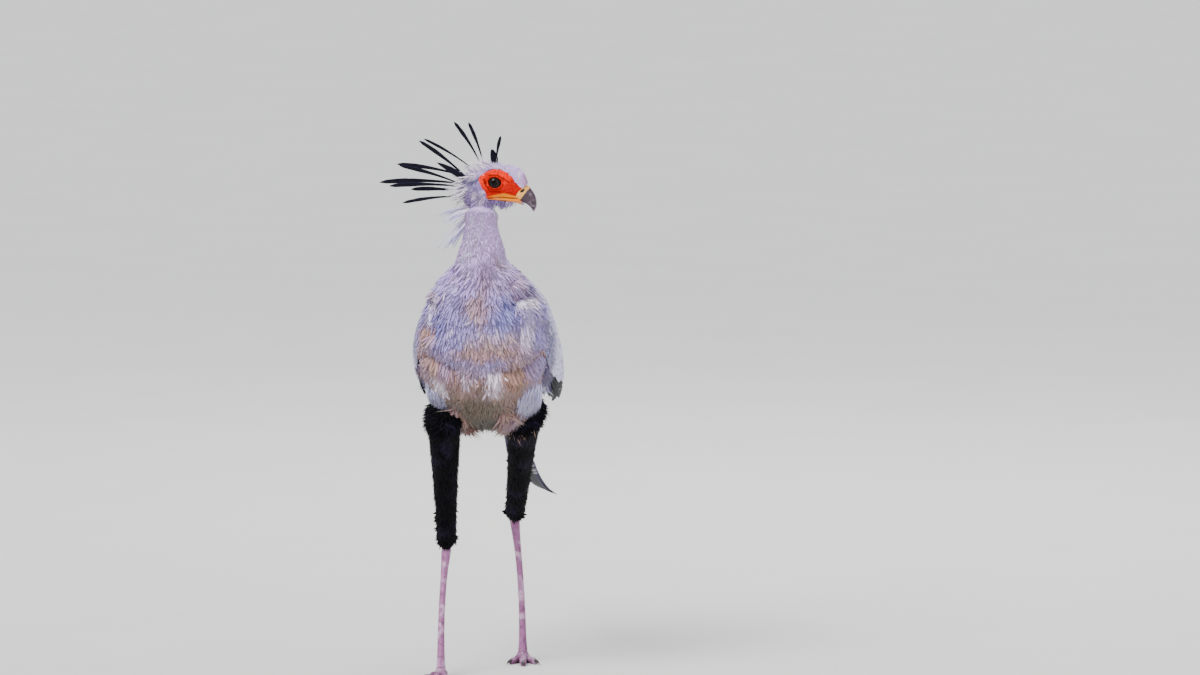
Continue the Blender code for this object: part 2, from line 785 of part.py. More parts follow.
def wing_vane(side, tier, number):
    # One wing feather: its upper edge lies under the next feather's lower edge
    count, first, last, root_top, root_low, tip_top, tip_low, level = WING_TIERS[tier]
    share = number / (count - 1)
    pitch = (last - first) / (count - 1)
    half = pitch * WING_VANE_SPREAD
    centre = first + (last - first) * share
    root = root_top + (root_low - root_top) * share
    tip = tip_top + (tip_low - tip_top) * share
    sunk = core_level(root) - 0.0030
    sections = []
    shape = LONG_VANE_SHAPE if tier in LONG_TIERS else SHORT_VANE_SHAPE
    for way, width in shape:
        s = root + (tip - root) * way
        v = centre + 0.02 * way
        rise = min(1.0, way / 0.36)
        rise = rise * rise * (3 - 2 * rise)
        height = sunk + (level - sunk) * rise
        tilt = VANE_STEP * WING_VANE_SPREAD * width
        thick = VANE_THICKNESS * 0.5 * (1.0 if way < 0.8 else 0.8)
        sections.append((
            wing_point(side, s, v - half * width, height - tilt),
            wing_point(side, s, v, height + thick),
            wing_point(side, s, v + half * width, height + tilt),
            wing_point(side, s, v, height - thick),
        ))
    return vane(tier, sections, wing_point(side, tip, centre + 0.02, level))


def make_wing(side, name):
    wing = wing_core(side, name)
    pieces = []
    for tier, values in WING_TIERS.items():
        pieces += [wing_vane(side, tier, number) for number in range(values[0])]
    fuse(wing, pieces)
    return wing


def tail_frame(place):
    # Point, up direction and sideways direction on the path of the tail
    here = Vector(along(TAIL_ROWS, place))
    ahead = (Vector(along(TAIL_ROWS, min(place + 0.05, len(TAIL_ROWS) - 1.0)))
             - Vector(along(TAIL_ROWS, max(place - 0.05, 0.0)))).normalized()
    across = Vector((1.0, 0.0, 0.0))
    across = (across - ahead * across.dot(ahead)).normalized()
    lift = across.cross(ahead).normalized()
    twist = TAIL_TWIST * max(0.0, place - TAIL_TWIST_FROM) / (len(TAIL_ROWS) - 1 - TAIL_TWIST_FROM)
    turned = across * math.cos(twist) + lift * math.sin(twist)
    lift = lift * math.cos(twist) - across * math.sin(twist)
    return here, lift, turned


def tail_feather(number, side):
    # Middle feathers on top; each pair further out lies under the one before
    end, tip_side, width = TAIL_PAIRS[number]
    level = -TAIL_STEP * (2 * number + (0 if side > 0 else 1))
    sections = []
    place = TAIL_FEATHER_START
    while place < end - 0.2:
        share = (place - TAIL_FEATHER_START) / (end - TAIL_FEATHER_START)
        here, lift, across = tail_frame(place)
        shape = min(1.0, 0.55 + 1.8 * share)
        if share > 0.7:
            shape *= 1.0 - 0.45 * (share - 0.7) / 0.3
        middle = here + across * side * tip_side * share + lift * level
        half = across * width * 0.5 * shape
        thick = lift * VANE_THICKNESS * 0.5
        sections.append((middle - half, middle + thick, middle + half, middle - thick))
        place += TAIL_STATION
    here, lift, across = tail_frame(end)
    return vane("tail feather", sections, here + across * side * tip_side + lift * level)


def make_tail():
    # Short firm root with the coverts, then twelve feathers
    rings = []
    steps = 5
    for i in range(steps + 1):
        share = i / steps
        here, lift, across = tail_frame(TAIL_ROOT_END * share)
        half = 0.037 * (1 - share) ** 0.6 + 0.006
        thick = 0.031 * (1 - share) ** 0.8 + 0.0025
        ring = []
        for k in range(12):
            turn = 2 * math.pi * k / 12
            ring.append(here + across * half * math.cos(turn)
                        + lift * (thick * math.sin(turn) - TAIL_STEP * 5))
        rings.append(ring)
    tail = loft("tail", rings)
    pieces = [tail_feather(number, side) for number in range(len(TAIL_PAIRS)) for side in (1, -1)]
    fuse(tail, pieces)
    return tail


def body_lock(place, angle, length, width):
    # Shaggy feather whose root is sunk in the body and whose tip hangs free
    root = body_point(TORSO_ROWS, place, angle)
    ring = body_ring(TORSO_ROWS, place)
    out = (root - sum(ring, Vector()) / len(ring)).normalized()
    lie = Vector((out.x * 0.15, 0.55, -0.80)).normalized()
    slide = (lie - out * lie.dot(out)).normalized()
    start = root - out * 0.005 - slide * 0.004
    path = [start]
    for i in range(1, 5):
        share = i / 4
        lift = out * (0.0085 * math.sin(share * math.pi * 0.5) + 0.002 * share)
        droop = 0.12 * share
        path.append(start + (slide * (1 - droop) + lie * droop) * length * share + lift)
    side = slide.cross(out).normalized()
    widths = [width * share for share in (0.75, 1.0, 0.92, 0.55)]
    thick = [LOCK_THICKNESS * share for share in (1.2, 1.0, 0.75, 0.45)]
    return free_vane("lock", path, side, widths, thick), root


def leg_distance(leg, point):
    # Distance from a point to the line of the upper leg
    along_leg = leg["ankle"] - leg["knee"]
    share = max(-0.3, min(1.0, (point - leg["knee"]).dot(along_leg) / along_leg.length_squared))
    return (point - leg["knee"] - along_leg * share).length


def surface_tree(item):
    # Search tree of an object's surface
    data = item.data
    return BVHTree.FromPolygons([v.co.copy() for v in data.vertices],
                                [tuple(p.vertices) for p in data.polygons])


def make_belly_locks(thighs, wings):
    trees = [surface_tree(wing) for wing in wings]
    locks = []
    for place, first, last, count, length, width in BELLY_ROWS:
        for i in range(count):
            angle = math.radians(first + (last - first) * i / (count - 1) + random.uniform(-3, 3))
            size = random.uniform(0.85, 1.12)
            here = place + random.uniform(-0.12, 0.12)
            lock, root = body_lock(here, angle, length * size, width)
            near_leg = min(leg_distance(leg, root) for leg in LEGS.values()) < LOCK_LEG_ROOM
            grown = swollen(lock, 3 * GAP)
            near_wing = any(tree.overlap(surface_tree(grown)) for tree in trees)
            bpy.data.objects.remove(grown, do_unlink=True)
            if near_leg or near_wing:
                bpy.data.objects.remove(lock, do_unlink=True)
                continue
            for thigh in thighs:
                cut(lock, swollen(thigh, GAP))
            locks.append(lock)
    return locks


def leg_ring(point, along_leg, half_width, half_depth, sides):
    forward = Vector((0.0, -1.0, 0.0))
    axis = along_leg.normalized()
    front = (forward - axis * forward.dot(axis)).normalized()
    across = axis.cross(front)
    ring = []
    for i in range(sides):
        turn = 2 * math.pi * i / sides
        ring.append(point + across * half_width * math.cos(turn) + front * half_depth * math.sin(turn))
    return ring


def trouser_end(leg):
    return leg["knee"].lerp(leg["ankle"], TROUSER_ROWS[-1][0])


def make_thigh(leg, name):
    axis = leg["ankle"] - leg["knee"]
    rings = []
    last = len(TROUSER_ROWS) - 1
    steps = 10
    for i in range(steps + 1):
        share, half_width, half_depth = along(TROUSER_ROWS, last * i / steps)
        point = leg["knee"] + axis * share
        if share < 0:
            point = leg["knee"].lerp(leg["hip"], -share / 0.22 * 0.5)
        rings.append(leg_ring(point, axis, half_width, half_depth, TROUSER_SIDES))
    return loft(name, rings)


def hem_lock(leg, number):
    # Ragged black feather at the hem, bent round the ankle without touching it
    turn = 2 * math.pi * (number + random.uniform(-0.2, 0.2)) / HEM_LOCKS
    axis = leg["ankle"] - leg["knee"]
    down = (leg["toes"] - leg["ankle"]).normalized()
    length = random.uniform(0.020, 0.034)

    def on_leg(centre, direction, half_width, half_depth):
        ring = leg_ring(centre, direction, half_width, half_depth, 360)
        return ring[int(math.degrees(turn)) % 360]

    path = [
        on_leg(leg["knee"] + axis * 0.80, axis, 0.0165, 0.0200),
        on_leg(leg["knee"] + axis * 0.91, axis, 0.0215, 0.0240),
        on_leg(leg["ankle"], axis.normalized() + down, 0.0185, 0.0215),
        on_leg(leg["ankle"] + down * length * 0.6, down, 0.0180, 0.0205),
        on_leg(leg["ankle"] + down * length, down, 0.0175, 0.0200),
    ]
    out = (path[1] - leg["knee"] - axis * 0.91).normalized()
    side = axis.normalized().cross(out)
    widths = [0.013, 0.016, 0.013, 0.007]
    return free_vane("hem", path, side, widths, [0.0036, 0.0032, 0.0026, 0.0018])


def make_shank(leg, name):
    start = trouser_end(leg)
    axis = (leg["ankle"] - leg["knee"]).normalized()
    ankle = leg["ankle"]
    down = leg["toes"] - ankle
    rings = [leg_ring(start + axis * GAP, axis, 0.0088, 0.0105, SHANK_SIDES)]
    bend = axis + down.normalized() * 0.5
    rings.append(leg_ring(start.lerp(ankle, 0.55), bend, 0.0096, 0.0118, SHANK_SIDES))
    last = len(SHANK_ROWS) - 1
    steps = 2 * SHANK_SCUTES
    for i in range(1, steps + 1):
        share, half_width, half_depth = along(SHANK_ROWS, last * i / steps)
        rise = SCUTE_RISE * (1 if i % 2 else -1)
        point = ankle + down * share
        point.x += leg["shank_bow"] * math.sin(math.pi * share)
        turn_in = axis.lerp(down.normalized(), min(1.0, 0.35 + share * 4))
        rings.append(leg_ring(point, turn_in, half_width + rise, half_depth + rise, SHANK_SIDES))
    return loft(name, rings)


def toe_direction(leg, toe):
    mirror = 1.0 if leg is LEGS["left"] else -1.0
    angle = mirror * math.radians(TOES[toe][0]) + leg["toe_out"]
    return Vector((math.sin(angle), -math.cos(angle), 0.0))


def toe_rings(leg, toe):
    turn, length, root_radius, end_radius = TOES[toe]
    ahead = toe_direction(leg, toe)
    across = Vector((0.0, 0.0, 1.0)).cross(ahead)
    base = Vector((leg["toes"].x, leg["toes"].y, 0.0))
    rings = []
    steps = 7
    for i in range(steps + 1):
        share = i / steps
        radius = root_radius + (end_radius - root_radius) * share
        radius += 0.0007 * math.cos(share * 2 * math.pi * 2.5)
        height = radius * 0.88 + 0.0035 * (1 - share) ** 2
        middle = base + ahead * (0.002 + length * share) + Vector((0.0, 0.0, height))
        ring = []
        for k in range(8):
            turn_round = 2 * math.pi * (k + 0.5) / 8
            ring.append(middle + across * radius * math.cos(turn_round)
                        + Vector((0.0, 0.0, radius * math.sin(turn_round))))
        rings.append(ring)
    return rings


def make_foot(leg, name):
    base = Vector((leg["toes"].x, leg["toes"].y, 0.0115))
    axes = (Vector((1, 0, 0)), Vector((0, 1, 0)), Vector((0, 0, 1)))
    foot = ellipsoid(name, base, axes, (0.0135, 0.0150, 0.0122), 12, 6)
    pieces = [loft(toe, toe_rings(leg, toe)) for toe in TOES]
    fuse(foot, pieces)
    cut(foot, half_space(Vector((0, 0, 0)), Vector((0, 0, -1)), 1.2))
    return foot


def make_claw(leg, toe, name):
    rings = toe_rings(leg, toe)
    ahead = toe_direction(leg, toe)
    across = Vector((0.0, 0.0, 1.0)).cross(ahead)
    radius = TOES[toe][3]
    start = sum(rings[-1], Vector()) / 8 + ahead * GAP
    length = CLAW_LENGTH[toe]
    claw_rings = []
    steps = 5
    for i in range(steps + 1):
        share = i / steps
        size = radius * 0.66 * (1 - share) ** 0.8 + 0.0006
        drop = 0.0007 - 0.0032 * share ** 1.6 + 0.0024 * math.sin(math.pi * share)
        middle = start + ahead * length * share + Vector((0.0, 0.0, drop))
        middle.z = max(middle.z, size + 0.0004)
        ring = []
        for k in range(7):
            turn = 2 * math.pi * k / 7
            ring.append(middle + across * size * 0.85 * math.cos(turn)
                        + Vector((0.0, 0.0, size * math.sin(turn))))
        claw_rings.append(ring)
    return loft(name, claw_rings)


def build():
    clear_scene()
    bird = bpy.data.collections.new("secretary_bird")
    bpy.context.scene.collection.children.link(bird)
    random.seed(SEED)

    torso = make_torso()
    neck_lower = make_neck("neck_lower", 0, NECK_SPLIT, 8)
    neck_upper = make_neck("neck_upper", NECK_SPLIT, NECK_TOP, 6)
    fuse(neck_upper, make_plumes())
    head = make_head()
    finish(head, "head", "grey feather")

    locks_clear_of = []
    wings = []
    for side, word in ((1, "left"), (-1, "right")):
        wing = make_wing(side, "wing_" + word)
        cut(wing, swollen(torso, GAP))
        cut(wing, swollen(neck_lower, GAP))
        wings.append(wing)
        leg = LEGS[word]
        thigh = make_thigh(leg, "thigh_" + word)
        locks_clear_of.append(swollen(thigh, 0.0))
        cut(thigh, swollen(torso, GAP))
        cut(thigh, swollen(wing, GAP))
        fuse(thigh, [hem_lock(leg, number) for number in range(HEM_LOCKS)])
        finish(wing, "wing_" + word, "wing feather")
        finish(thigh, "thigh_" + word, "black feather")
        finish(eye_ball(side), "eye_" + word, "eye")
        shank = make_shank(leg, "shank_" + word)
        foot = make_foot(leg, "foot_" + word)
        cut(foot, swollen(shank, GAP))
        finish(shank, "shank_" + word, "pink scute")
        finish(foot, "foot_" + word, "pink scute")
        for toe in TOES:
            label = "claw_" + word + "_" + toe
            finish(make_claw(leg, toe, label), label, "dark horn")

    tail = make_tail()
    cut(tail, swollen(torso, GAP))
    finish(tail, "tail", "tail feather")
    finish(make_upper_bill(), "bill_upper", "slate horn")
    finish(make_bill("bill_lower", LOWER_BILL_ROWS, 5), "bill_lower", "yellow horn")
    fuse(torso, make_belly_locks(locks_clear_of, wings))
    for item in locks_clear_of:
        bpy.data.objects.remove(item, do_unlink=True)
    finish(torso, "torso", "breast feather")
    finish(neck_lower, "neck_lower", "grey feather")
    finish(neck_upper, "neck_upper", "grey feather")
    centre_on_origin(bird.objects)


build()
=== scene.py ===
# Secretary bird at life size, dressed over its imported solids.
# Shapes are laid out in metres with the bird facing -Y and its left side at +X.
import itertools
import math

import bmesh
import bpy
import numpy as np
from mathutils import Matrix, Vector
from mathutils.bvhtree import BVHTree


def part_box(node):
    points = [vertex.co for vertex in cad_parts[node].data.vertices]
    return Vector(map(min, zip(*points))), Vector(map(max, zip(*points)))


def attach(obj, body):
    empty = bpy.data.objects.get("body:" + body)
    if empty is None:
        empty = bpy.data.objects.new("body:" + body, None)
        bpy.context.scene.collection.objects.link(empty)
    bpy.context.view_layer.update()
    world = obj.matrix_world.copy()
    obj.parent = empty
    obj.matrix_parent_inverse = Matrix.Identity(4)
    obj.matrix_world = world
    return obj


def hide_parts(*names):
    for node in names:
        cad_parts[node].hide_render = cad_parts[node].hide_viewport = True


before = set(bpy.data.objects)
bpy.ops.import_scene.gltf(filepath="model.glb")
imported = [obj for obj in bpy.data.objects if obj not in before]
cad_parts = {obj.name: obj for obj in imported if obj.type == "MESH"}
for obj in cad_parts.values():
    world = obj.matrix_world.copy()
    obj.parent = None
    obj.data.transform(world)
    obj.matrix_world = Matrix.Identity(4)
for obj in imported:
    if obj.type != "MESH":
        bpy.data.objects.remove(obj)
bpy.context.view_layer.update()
print("frame loaded")

headShape = {
    "middle": np.array((0.0346, -0.155, 1.045)),  # point between the eyes
    "pitch": math.radians(8),
    # forward, crown, throat, half width
    "rows": [
        (-0.0650, -0.0160, -0.0330, 0.011),
        (-0.0540, 0.0130, -0.0440, 0.023),
        (-0.0360, 0.0300, -0.0460, 0.031),
        (-0.0135, 0.0380, -0.0430, 0.032),
        (0.0105, 0.0392, -0.0380, 0.029),
        (0.0300, 0.0392, -0.0360, 0.024),
        (0.0440, 0.0350, -0.0350, 0.019),
        (0.0565, 0.0235, -0.0330, 0.015),
        (0.0665, 0.0060, -0.0300, 0.012),
    ],
    "coat": 0.0022,
    "rings": 120,
    "sides": 112,
    "billPlane": (0.0540, -0.010),
    "billSlope": math.radians(-30),
    "eyeAt": 0.0182,  # sideways place of the solid eye
    "eyeRadius": 0.0148,
    "eyeOut": 0.0166,
    "lidLong": 0.0142,
    "lidHigh": 0.0120,
}
bodyShape = {
    # back y, back z, belly y, belly z, half width, sideways shift
    "torso": [
        (0.285, 0.640, 0.270, 0.585, 0.040, 0.000),
        (0.215, 0.688, 0.205, 0.548, 0.075, 0.000),
        (0.125, 0.736, 0.110, 0.528, 0.106, 0.000),
        (0.035, 0.776, 0.005, 0.516, 0.125, 0.000),
        (-0.025, 0.806, -0.102, 0.536, 0.134, 0.000),
        (-0.058, 0.832, -0.184, 0.602, 0.138, 0.000),
        (-0.078, 0.850, -0.224, 0.692, 0.128, 0.001),
        (-0.092, 0.864, -0.234, 0.775, 0.103, 0.002),
    ],
    "neck": [
        (-0.092, 0.864, -0.234, 0.775, 0.103, 0.002),
        (-0.105, 0.896, -0.222, 0.848, 0.059, 0.004),
        (-0.113, 0.930, -0.204, 0.910, 0.0445, 0.005),
        (-0.119, 0.962, -0.195, 0.957, 0.036, 0.004),
        (-0.121, 1.000, -0.190, 0.993, 0.033, 0.004),
        (-0.124, 1.035, -0.187, 1.030, 0.031, 0.006),
    ],
    "torsoCoat": 0.010,
    "neckCoat": 0.0055,
    "lean": 0.008,  # the shoulders lean to the bird's left
    "leanAt": 0.785,
    "leanReach": 0.085,
    "voxel": 0.0055,
    "foldDepth": 0.009,
    "foldWidth": 0.012,
    # hollows between the column of the neck and the shoulders, as x and z
    "folds": [
        [(-0.043, 0.867), (-0.062, 0.800), (-0.082, 0.740)],
        [(0.060, 0.845), (0.076, 0.790), (0.084, 0.729)],
        [(0.062, 0.800), (0.100, 0.812), (0.120, 0.800)],
        [(0.120, 0.700), (0.085, 0.672), (0.040, 0.668)],
        [(-0.130, 0.680), (-0.095, 0.700), (-0.050, 0.676)],
    ],
}
legShape = {
    "right": {
        "hip": np.array((-0.070, 0.010, 0.650)),
        "knee": np.array((-0.081, -0.110, 0.548)),
        "ankle": np.array((-0.0935, 0.013, 0.257)),
        "toes": np.array((-0.084, -0.145, 0.016)),
        "bow": -0.004,
        "turn": math.radians(-6),
        "mirror": -1,
    },
    "left": {
        "hip": np.array((0.070, 0.035, 0.650)),
        "knee": np.array((0.082, -0.045, 0.555)),
        "ankle": np.array((0.0315, 0.155, 0.303)),
        "toes": np.array((0.052, 0.135, 0.016)),
        "bow": 0.005,
        "turn": math.radians(8),
        "mirror": 1,
    },
}
trouserShape = {
    # share of the way from knee to ankle, half width, half depth
    "rows": [
        (-0.20, 0.024, 0.044),
        (-0.10, 0.0345, 0.061),
        (0.00, 0.0340, 0.060),
        (0.20, 0.0300, 0.048),
        (0.45, 0.0255, 0.036),
        (0.70, 0.0218, 0.027),
        (0.93, 0.0200, 0.0225),
    ],
    "coat": 0.0072,
}
wingShape = {
    # upper edge y and z, lower edge y and z, then x at upper edge, middle and lower edge
    "rows": [
        (-0.108, 0.826, -0.138, 0.728, 0.095, 0.142, 0.118),
        (-0.058, 0.834, -0.112, 0.648, 0.087, 0.173, 0.135),
        (0.030, 0.808, -0.015, 0.588, 0.070, 0.188, 0.144),
        (0.130, 0.762, 0.100, 0.564, 0.054, 0.175, 0.139),
        (0.230, 0.704, 0.230, 0.547, 0.045, 0.154, 0.122),
        (0.330, 0.640, 0.360, 0.528, 0.042, 0.112, 0.096),
        (0.410, 0.578, 0.462, 0.508, 0.046, 0.082, 0.075),
    ],
    "coreEnd": 0.60,
    "coreDrop": 0.007,
}
tailShape = {
    "path": [
        (0.000, 0.272, 0.622),
        (0.000, 0.335, 0.545),
        (0.001, 0.420, 0.458),
        (0.003, 0.560, 0.370),
        (0.008, 0.740, 0.306),
        (0.011, 0.920, 0.266),
    ],
    "twist": math.radians(-24),
    "twistFrom": 3.0,
    "rootEnd": 1.15,
    "start": 0.45,
    "step": 0.0015,
    "narrow": 0.30,
    "thick": 0.00045,
    "stepLength": 0.13,  # about how far one step of the path is
    # each pair: tip place on the path, sideways place of the tip, width
    "pairs": [
        (5.00, 0.004, 0.040),
        (3.35, 0.006, 0.044),
        (3.18, 0.008, 0.044),
        (2.96, 0.010, 0.042),
        (2.72, 0.012, 0.040),
        (2.46, 0.014, 0.038),
    ],
}


def along(rows, place):
    # smooth values between rows, where place counts rows
    rows = np.asarray(rows, float)
    place = np.clip(np.asarray(place, float), 0, len(rows) - 1)
    at = np.minimum(place.astype(int), len(rows) - 2)
    t = (place - at)[..., None]
    a = rows[np.maximum(at - 1, 0)]
    b = rows[at]
    c = rows[at + 1]
    d = rows[np.minimum(at + 2, len(rows) - 1)]
    straight = (c - a) * t
    curve = (2 * a - 5 * b + 4 * c - d) * t ** 2
    twist = (3 * b - a - 3 * c + d) * t ** 3
    return b + 0.5 * (straight + curve + twist)


def smooth(value, low, high):
    # 0 at low and 1 at high, with soft ends
    share = np.clip((np.asarray(value, float) - low) / (high - low), 0, 1)
    return share * share * (3 - 2 * share)


def bell(away, reach):
    # 1 in the middle, falling off with distance
    return np.exp(-(away / reach) ** 2)


def spot(awayX, awayY, reachX, reachY):
    # the same for an oval spot
    return np.exp(-(awayX / reachX) ** 2 - (awayY / reachY) ** 2)


def unit(vectors):
    return vectors / np.maximum(np.linalg.norm(vectors, axis=-1, keepdims=True), 1e-9)


def mix(a, b, share):
    share = np.asarray(share, float)[..., None]
    return np.asarray(a) * (1 - share) + np.asarray(b) * share


def colour(red, green, blue):
    # screen colour from 0 to 255, as the linear values that shaders use
    values = np.array((red, green, blue)) / 255
    return np.where(values <= 0.04045, values / 12.92, ((values + 0.055) / 1.055) ** 2.4)


def blotches(points, size, seed):
    # soft random values from 0 to 1, the same at the same place
    scaled = np.asarray(points) / size
    cell = np.floor(scaled).astype(np.int64)
    inside = scaled - cell
    inside = inside * inside * (3 - 2 * inside)
    total = 0.0
    for corner in itertools.product((0, 1), repeat=3):
        here = cell + np.array(corner)
        code = here[..., 0] * 374761393 + here[..., 1] * 668265263
        code = code + here[..., 2] * 217645177 + seed * 974634777
        code = (code ^ (code >> 13)) * 1274126177
        value = ((code ^ (code >> 16)) & 0xFFFF) / 65535
        share = np.prod(np.where(np.array(corner) == 1, inside, 1 - inside), axis=-1)
        total = total + value * share
    return total


pitch = headShape["pitch"]
noseAxis = np.array((math.cos(pitch), 0, -math.sin(pitch)))
sideAxis = np.array((0.0, 1.0, 0.0))
crownAxis = np.array((math.sin(pitch), 0, math.cos(pitch)))


def onHead(forward, left, up):
    forward, left, up = np.broadcast_arrays(forward, left, up)
    return (headShape["middle"] + forward[..., None] * noseAxis + left[..., None] * sideAxis
            + up[..., None] * crownAxis)


def inHead(points):
    # forward, left and up of points in the head's own frame
    away = np.asarray(points) - headShape["middle"]
    return away @ noseAxis, away @ sideAxis, away @ crownAxis


eyeLow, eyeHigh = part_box("eye_right")
home = np.array((eyeLow + eyeHigh) / 2) - onHead(0.0, -headShape["eyeAt"], 0.0)


def clearSelection():
    if bpy.context.object and bpy.context.object.mode != "OBJECT":
        bpy.ops.object.mode_set(mode="OBJECT")
    bpy.ops.object.select_all(action="DESELECT")


def pick(item):
    clearSelection()
    item.select_set(True)
    bpy.context.view_layer.objects.active = item


def applyAll(item):
    pick(item)
    for modifier in list(item.modifiers):
        bpy.ops.object.modifier_apply(modifier=modifier.name)


def newObject(name, mesh):
    item = bpy.data.objects.new(name, mesh)
    bpy.context.scene.collection.objects.link(item)
    return item


def loft(name, rings, closed=True):
    # closed body through rings of points, with flat ends
    rings = np.asarray(rings)
    levels, count = rings.shape[:2]
    mesh = bmesh.new()
    corners = [mesh.verts.new(point) for point in rings.reshape(-1, 3)]
    for level in range(levels - 1):
        for i in range(count):
            j = (i + 1) % count
            mesh.faces.new((corners[level * count + i], corners[level * count + j],
                            corners[(level + 1) * count + j], corners[(level + 1) * count + i]))
    if closed:
        mesh.faces.new(corners[:count][::-1])
        mesh.faces.new(corners[-count:])
    bmesh.ops.recalc_face_normals(mesh, faces=mesh.faces)
    data = bpy.data.meshes.new(name)
    mesh.to_mesh(data)
    mesh.free()
    data.shade_smooth()
    return newObject(name, data)


def denseMesh(name, points, faces, maps, tint):
    # one mesh from arrays, with its maps of corner places and its colour at each point
    mesh = bpy.data.meshes.new(name)
    mesh.vertices.add(len(points))
    mesh.vertices.foreach_set("co", np.ascontiguousarray(points, np.float32).ravel())
    mesh.loops.add(faces.size)
    mesh.loops.foreach_set("vertex_index", faces.astype(np.int32).ravel())
    mesh.polygons.add(len(faces))
    mesh.polygons.foreach_set("loop_start", np.arange(0, faces.size, 3, dtype=np.int32))
    mesh.update(calc_edges=True)
    for title, places in maps.items():
        layer = mesh.uv_layers.new(name=title)
        layer.data.foreach_set("uv", np.ascontiguousarray(places[faces.ravel()], np.float32).ravel())
    setTint(mesh, tint)
    mesh.shade_smooth()
    return newObject(name, mesh)


def setTint(mesh, tint):
    layer = mesh.color_attributes.new(name="tint", type="FLOAT_COLOR", domain="POINT")
    values = np.ones((len(mesh.vertices), 4), np.float32)
    values[:, :tint.shape[1]] = tint
    layer.data.foreach_set("color", values.ravel())


def pointsOf(item):
    values = np.zeros(len(item.data.vertices) * 3, np.float32)
    item.data.vertices.foreach_get("co", values)
    return values.reshape(-1, 3).astype(float)


def setPoints(item, points):
    item.data.vertices.foreach_set("co", np.ascontiguousarray(points, np.float32).ravel())
    item.data.update()


def finishPiece(item, material, replaced=()):
    setPoints(item, pointsOf(item) + home)
    item.data.materials.clear()
    item.data.materials.append(material)
    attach(item, "root")
    if replaced:
        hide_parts(*replaced)
    return item


def startMaterial(name, roughness, specular=0.5, sheen=0.0, coat=0.0):
    material = bpy.data.materials.new(name)
    material.use_nodes = True
    shader = material.node_tree.nodes["Principled BSDF"]
    shader.inputs["Roughness"].default_value = roughness
    shader.inputs["Specular IOR Level"].default_value = specular
    shader.inputs["Sheen Weight"].default_value = sheen
    shader.inputs["Coat Weight"].default_value = coat
    return material, shader


def node(material, kind, **values):
    made = material.node_tree.nodes.new("ShaderNode" + kind)
    for key, value in values.items():
        if key in made.inputs:
            made.inputs[key].default_value = value
        else:
            setattr(made, key, value)
    return made


def link(material, start, end):
    material.node_tree.links.new(start, end)


def pattern(material, kind, **values):
    # a texture that follows the piece's own place
    place = node(material, "TexCoord")
    made = node(material, kind, **values)
    link(material, place.outputs["Object"], made.inputs["Vector"])
    return made


def mathNode(material, operation, first, second):
    made = node(material, "Math", operation=operation)
    for socket, value in zip(made.inputs, (first, second)):
        if isinstance(value, (int, float)):
            socket.default_value = value
        else:
            link(material, value, socket)
    return made.outputs[0]


def tintTimes(material, shader, factor, low, high):
    # colour of the piece, darker and lighter by a pattern
    tint = node(material, "Attribute", attribute_name="tint")
    span = node(material, "MapRange")
    span.inputs["To Min"].default_value = low
    span.inputs["To Max"].default_value = high
    link(material, factor, span.inputs["Value"])
    blend = node(material, "VectorMath", operation="SCALE")
    link(material, tint.outputs["Color"], blend.inputs[0])
    link(material, span.outputs["Result"], blend.inputs["Scale"])
    link(material, blend.outputs["Vector"], shader.inputs["Base Color"])


def addBump(material, shader, height, strength, distance):
    bump = node(material, "Bump", Strength=strength, Distance=distance)
    link(material, height, bump.inputs["Height"])
    link(material, bump.outputs["Normal"], shader.inputs["Normal"])


def coatMaterial(name, roughness, sheen, specular=0.25):
    # loose body feathers, with a fine grain
    material, shader = startMaterial(name, roughness, specular=specular, sheen=sheen)
    grain = pattern(material, "TexNoise", Scale=700.0, Detail=2.0, Roughness=0.6)
    tintTimes(material, shader, grain.outputs["Fac"], 0.72, 1.24)
    addBump(material, shader, grain.outputs["Fac"], 0.35, 0.0006)
    return material


def vaneMaterial(name, roughness, sheen, specular=0.35):
    # firm feathers: slanting barbs on both sides of the shaft
    material, shader = startMaterial(name, roughness, specular=specular, sheen=sheen)
    barbs = 900.0  # to the metre
    place = node(material, "UVMap", uv_map="vane")
    split = node(material, "SeparateXYZ")
    link(material, place.outputs["UV"], split.inputs["Vector"])
    slant = mathNode(material, "ABSOLUTE", split.outputs["X"], 0.0)
    slanted = mathNode(material, "SUBTRACT", split.outputs["Y"], slant)
    turns = mathNode(material, "MULTIPLY", slanted, barbs * 2 * math.pi)
    wave = mathNode(material, "SINE", turns, 0.0)
    worn = pattern(material, "TexNoise", Scale=140.0, Detail=3.0, Roughness=0.6)
    fine = mathNode(material, "MULTIPLY_ADD", wave, 0.12)
    link(material, worn.outputs["Fac"], fine.node.inputs[2])
    tintTimes(material, shader, fine, 0.74, 1.22)
    addBump(material, shader, wave, 0.30, 0.0004)
    return material


def skinMaterial():
    # feathered skin and the bare face share one pebbled grain
    material, shader = startMaterial("skinAndFace", 0.7, specular=0.08)
    grain = pattern(material, "TexNoise", Scale=520.0, Detail=3.0, Roughness=0.65)
    pebbles = pattern(material, "TexVoronoi", Scale=620.0)
    both = mathNode(material, "MULTIPLY_ADD", pebbles.outputs["Distance"], 0.8)
    link(material, grain.outputs["Fac"], both.node.inputs[2])
    tintTimes(material, shader, grain.outputs["Fac"], 0.72, 1.22)
    addBump(material, shader, both, 0.55, 0.0007)
    return material


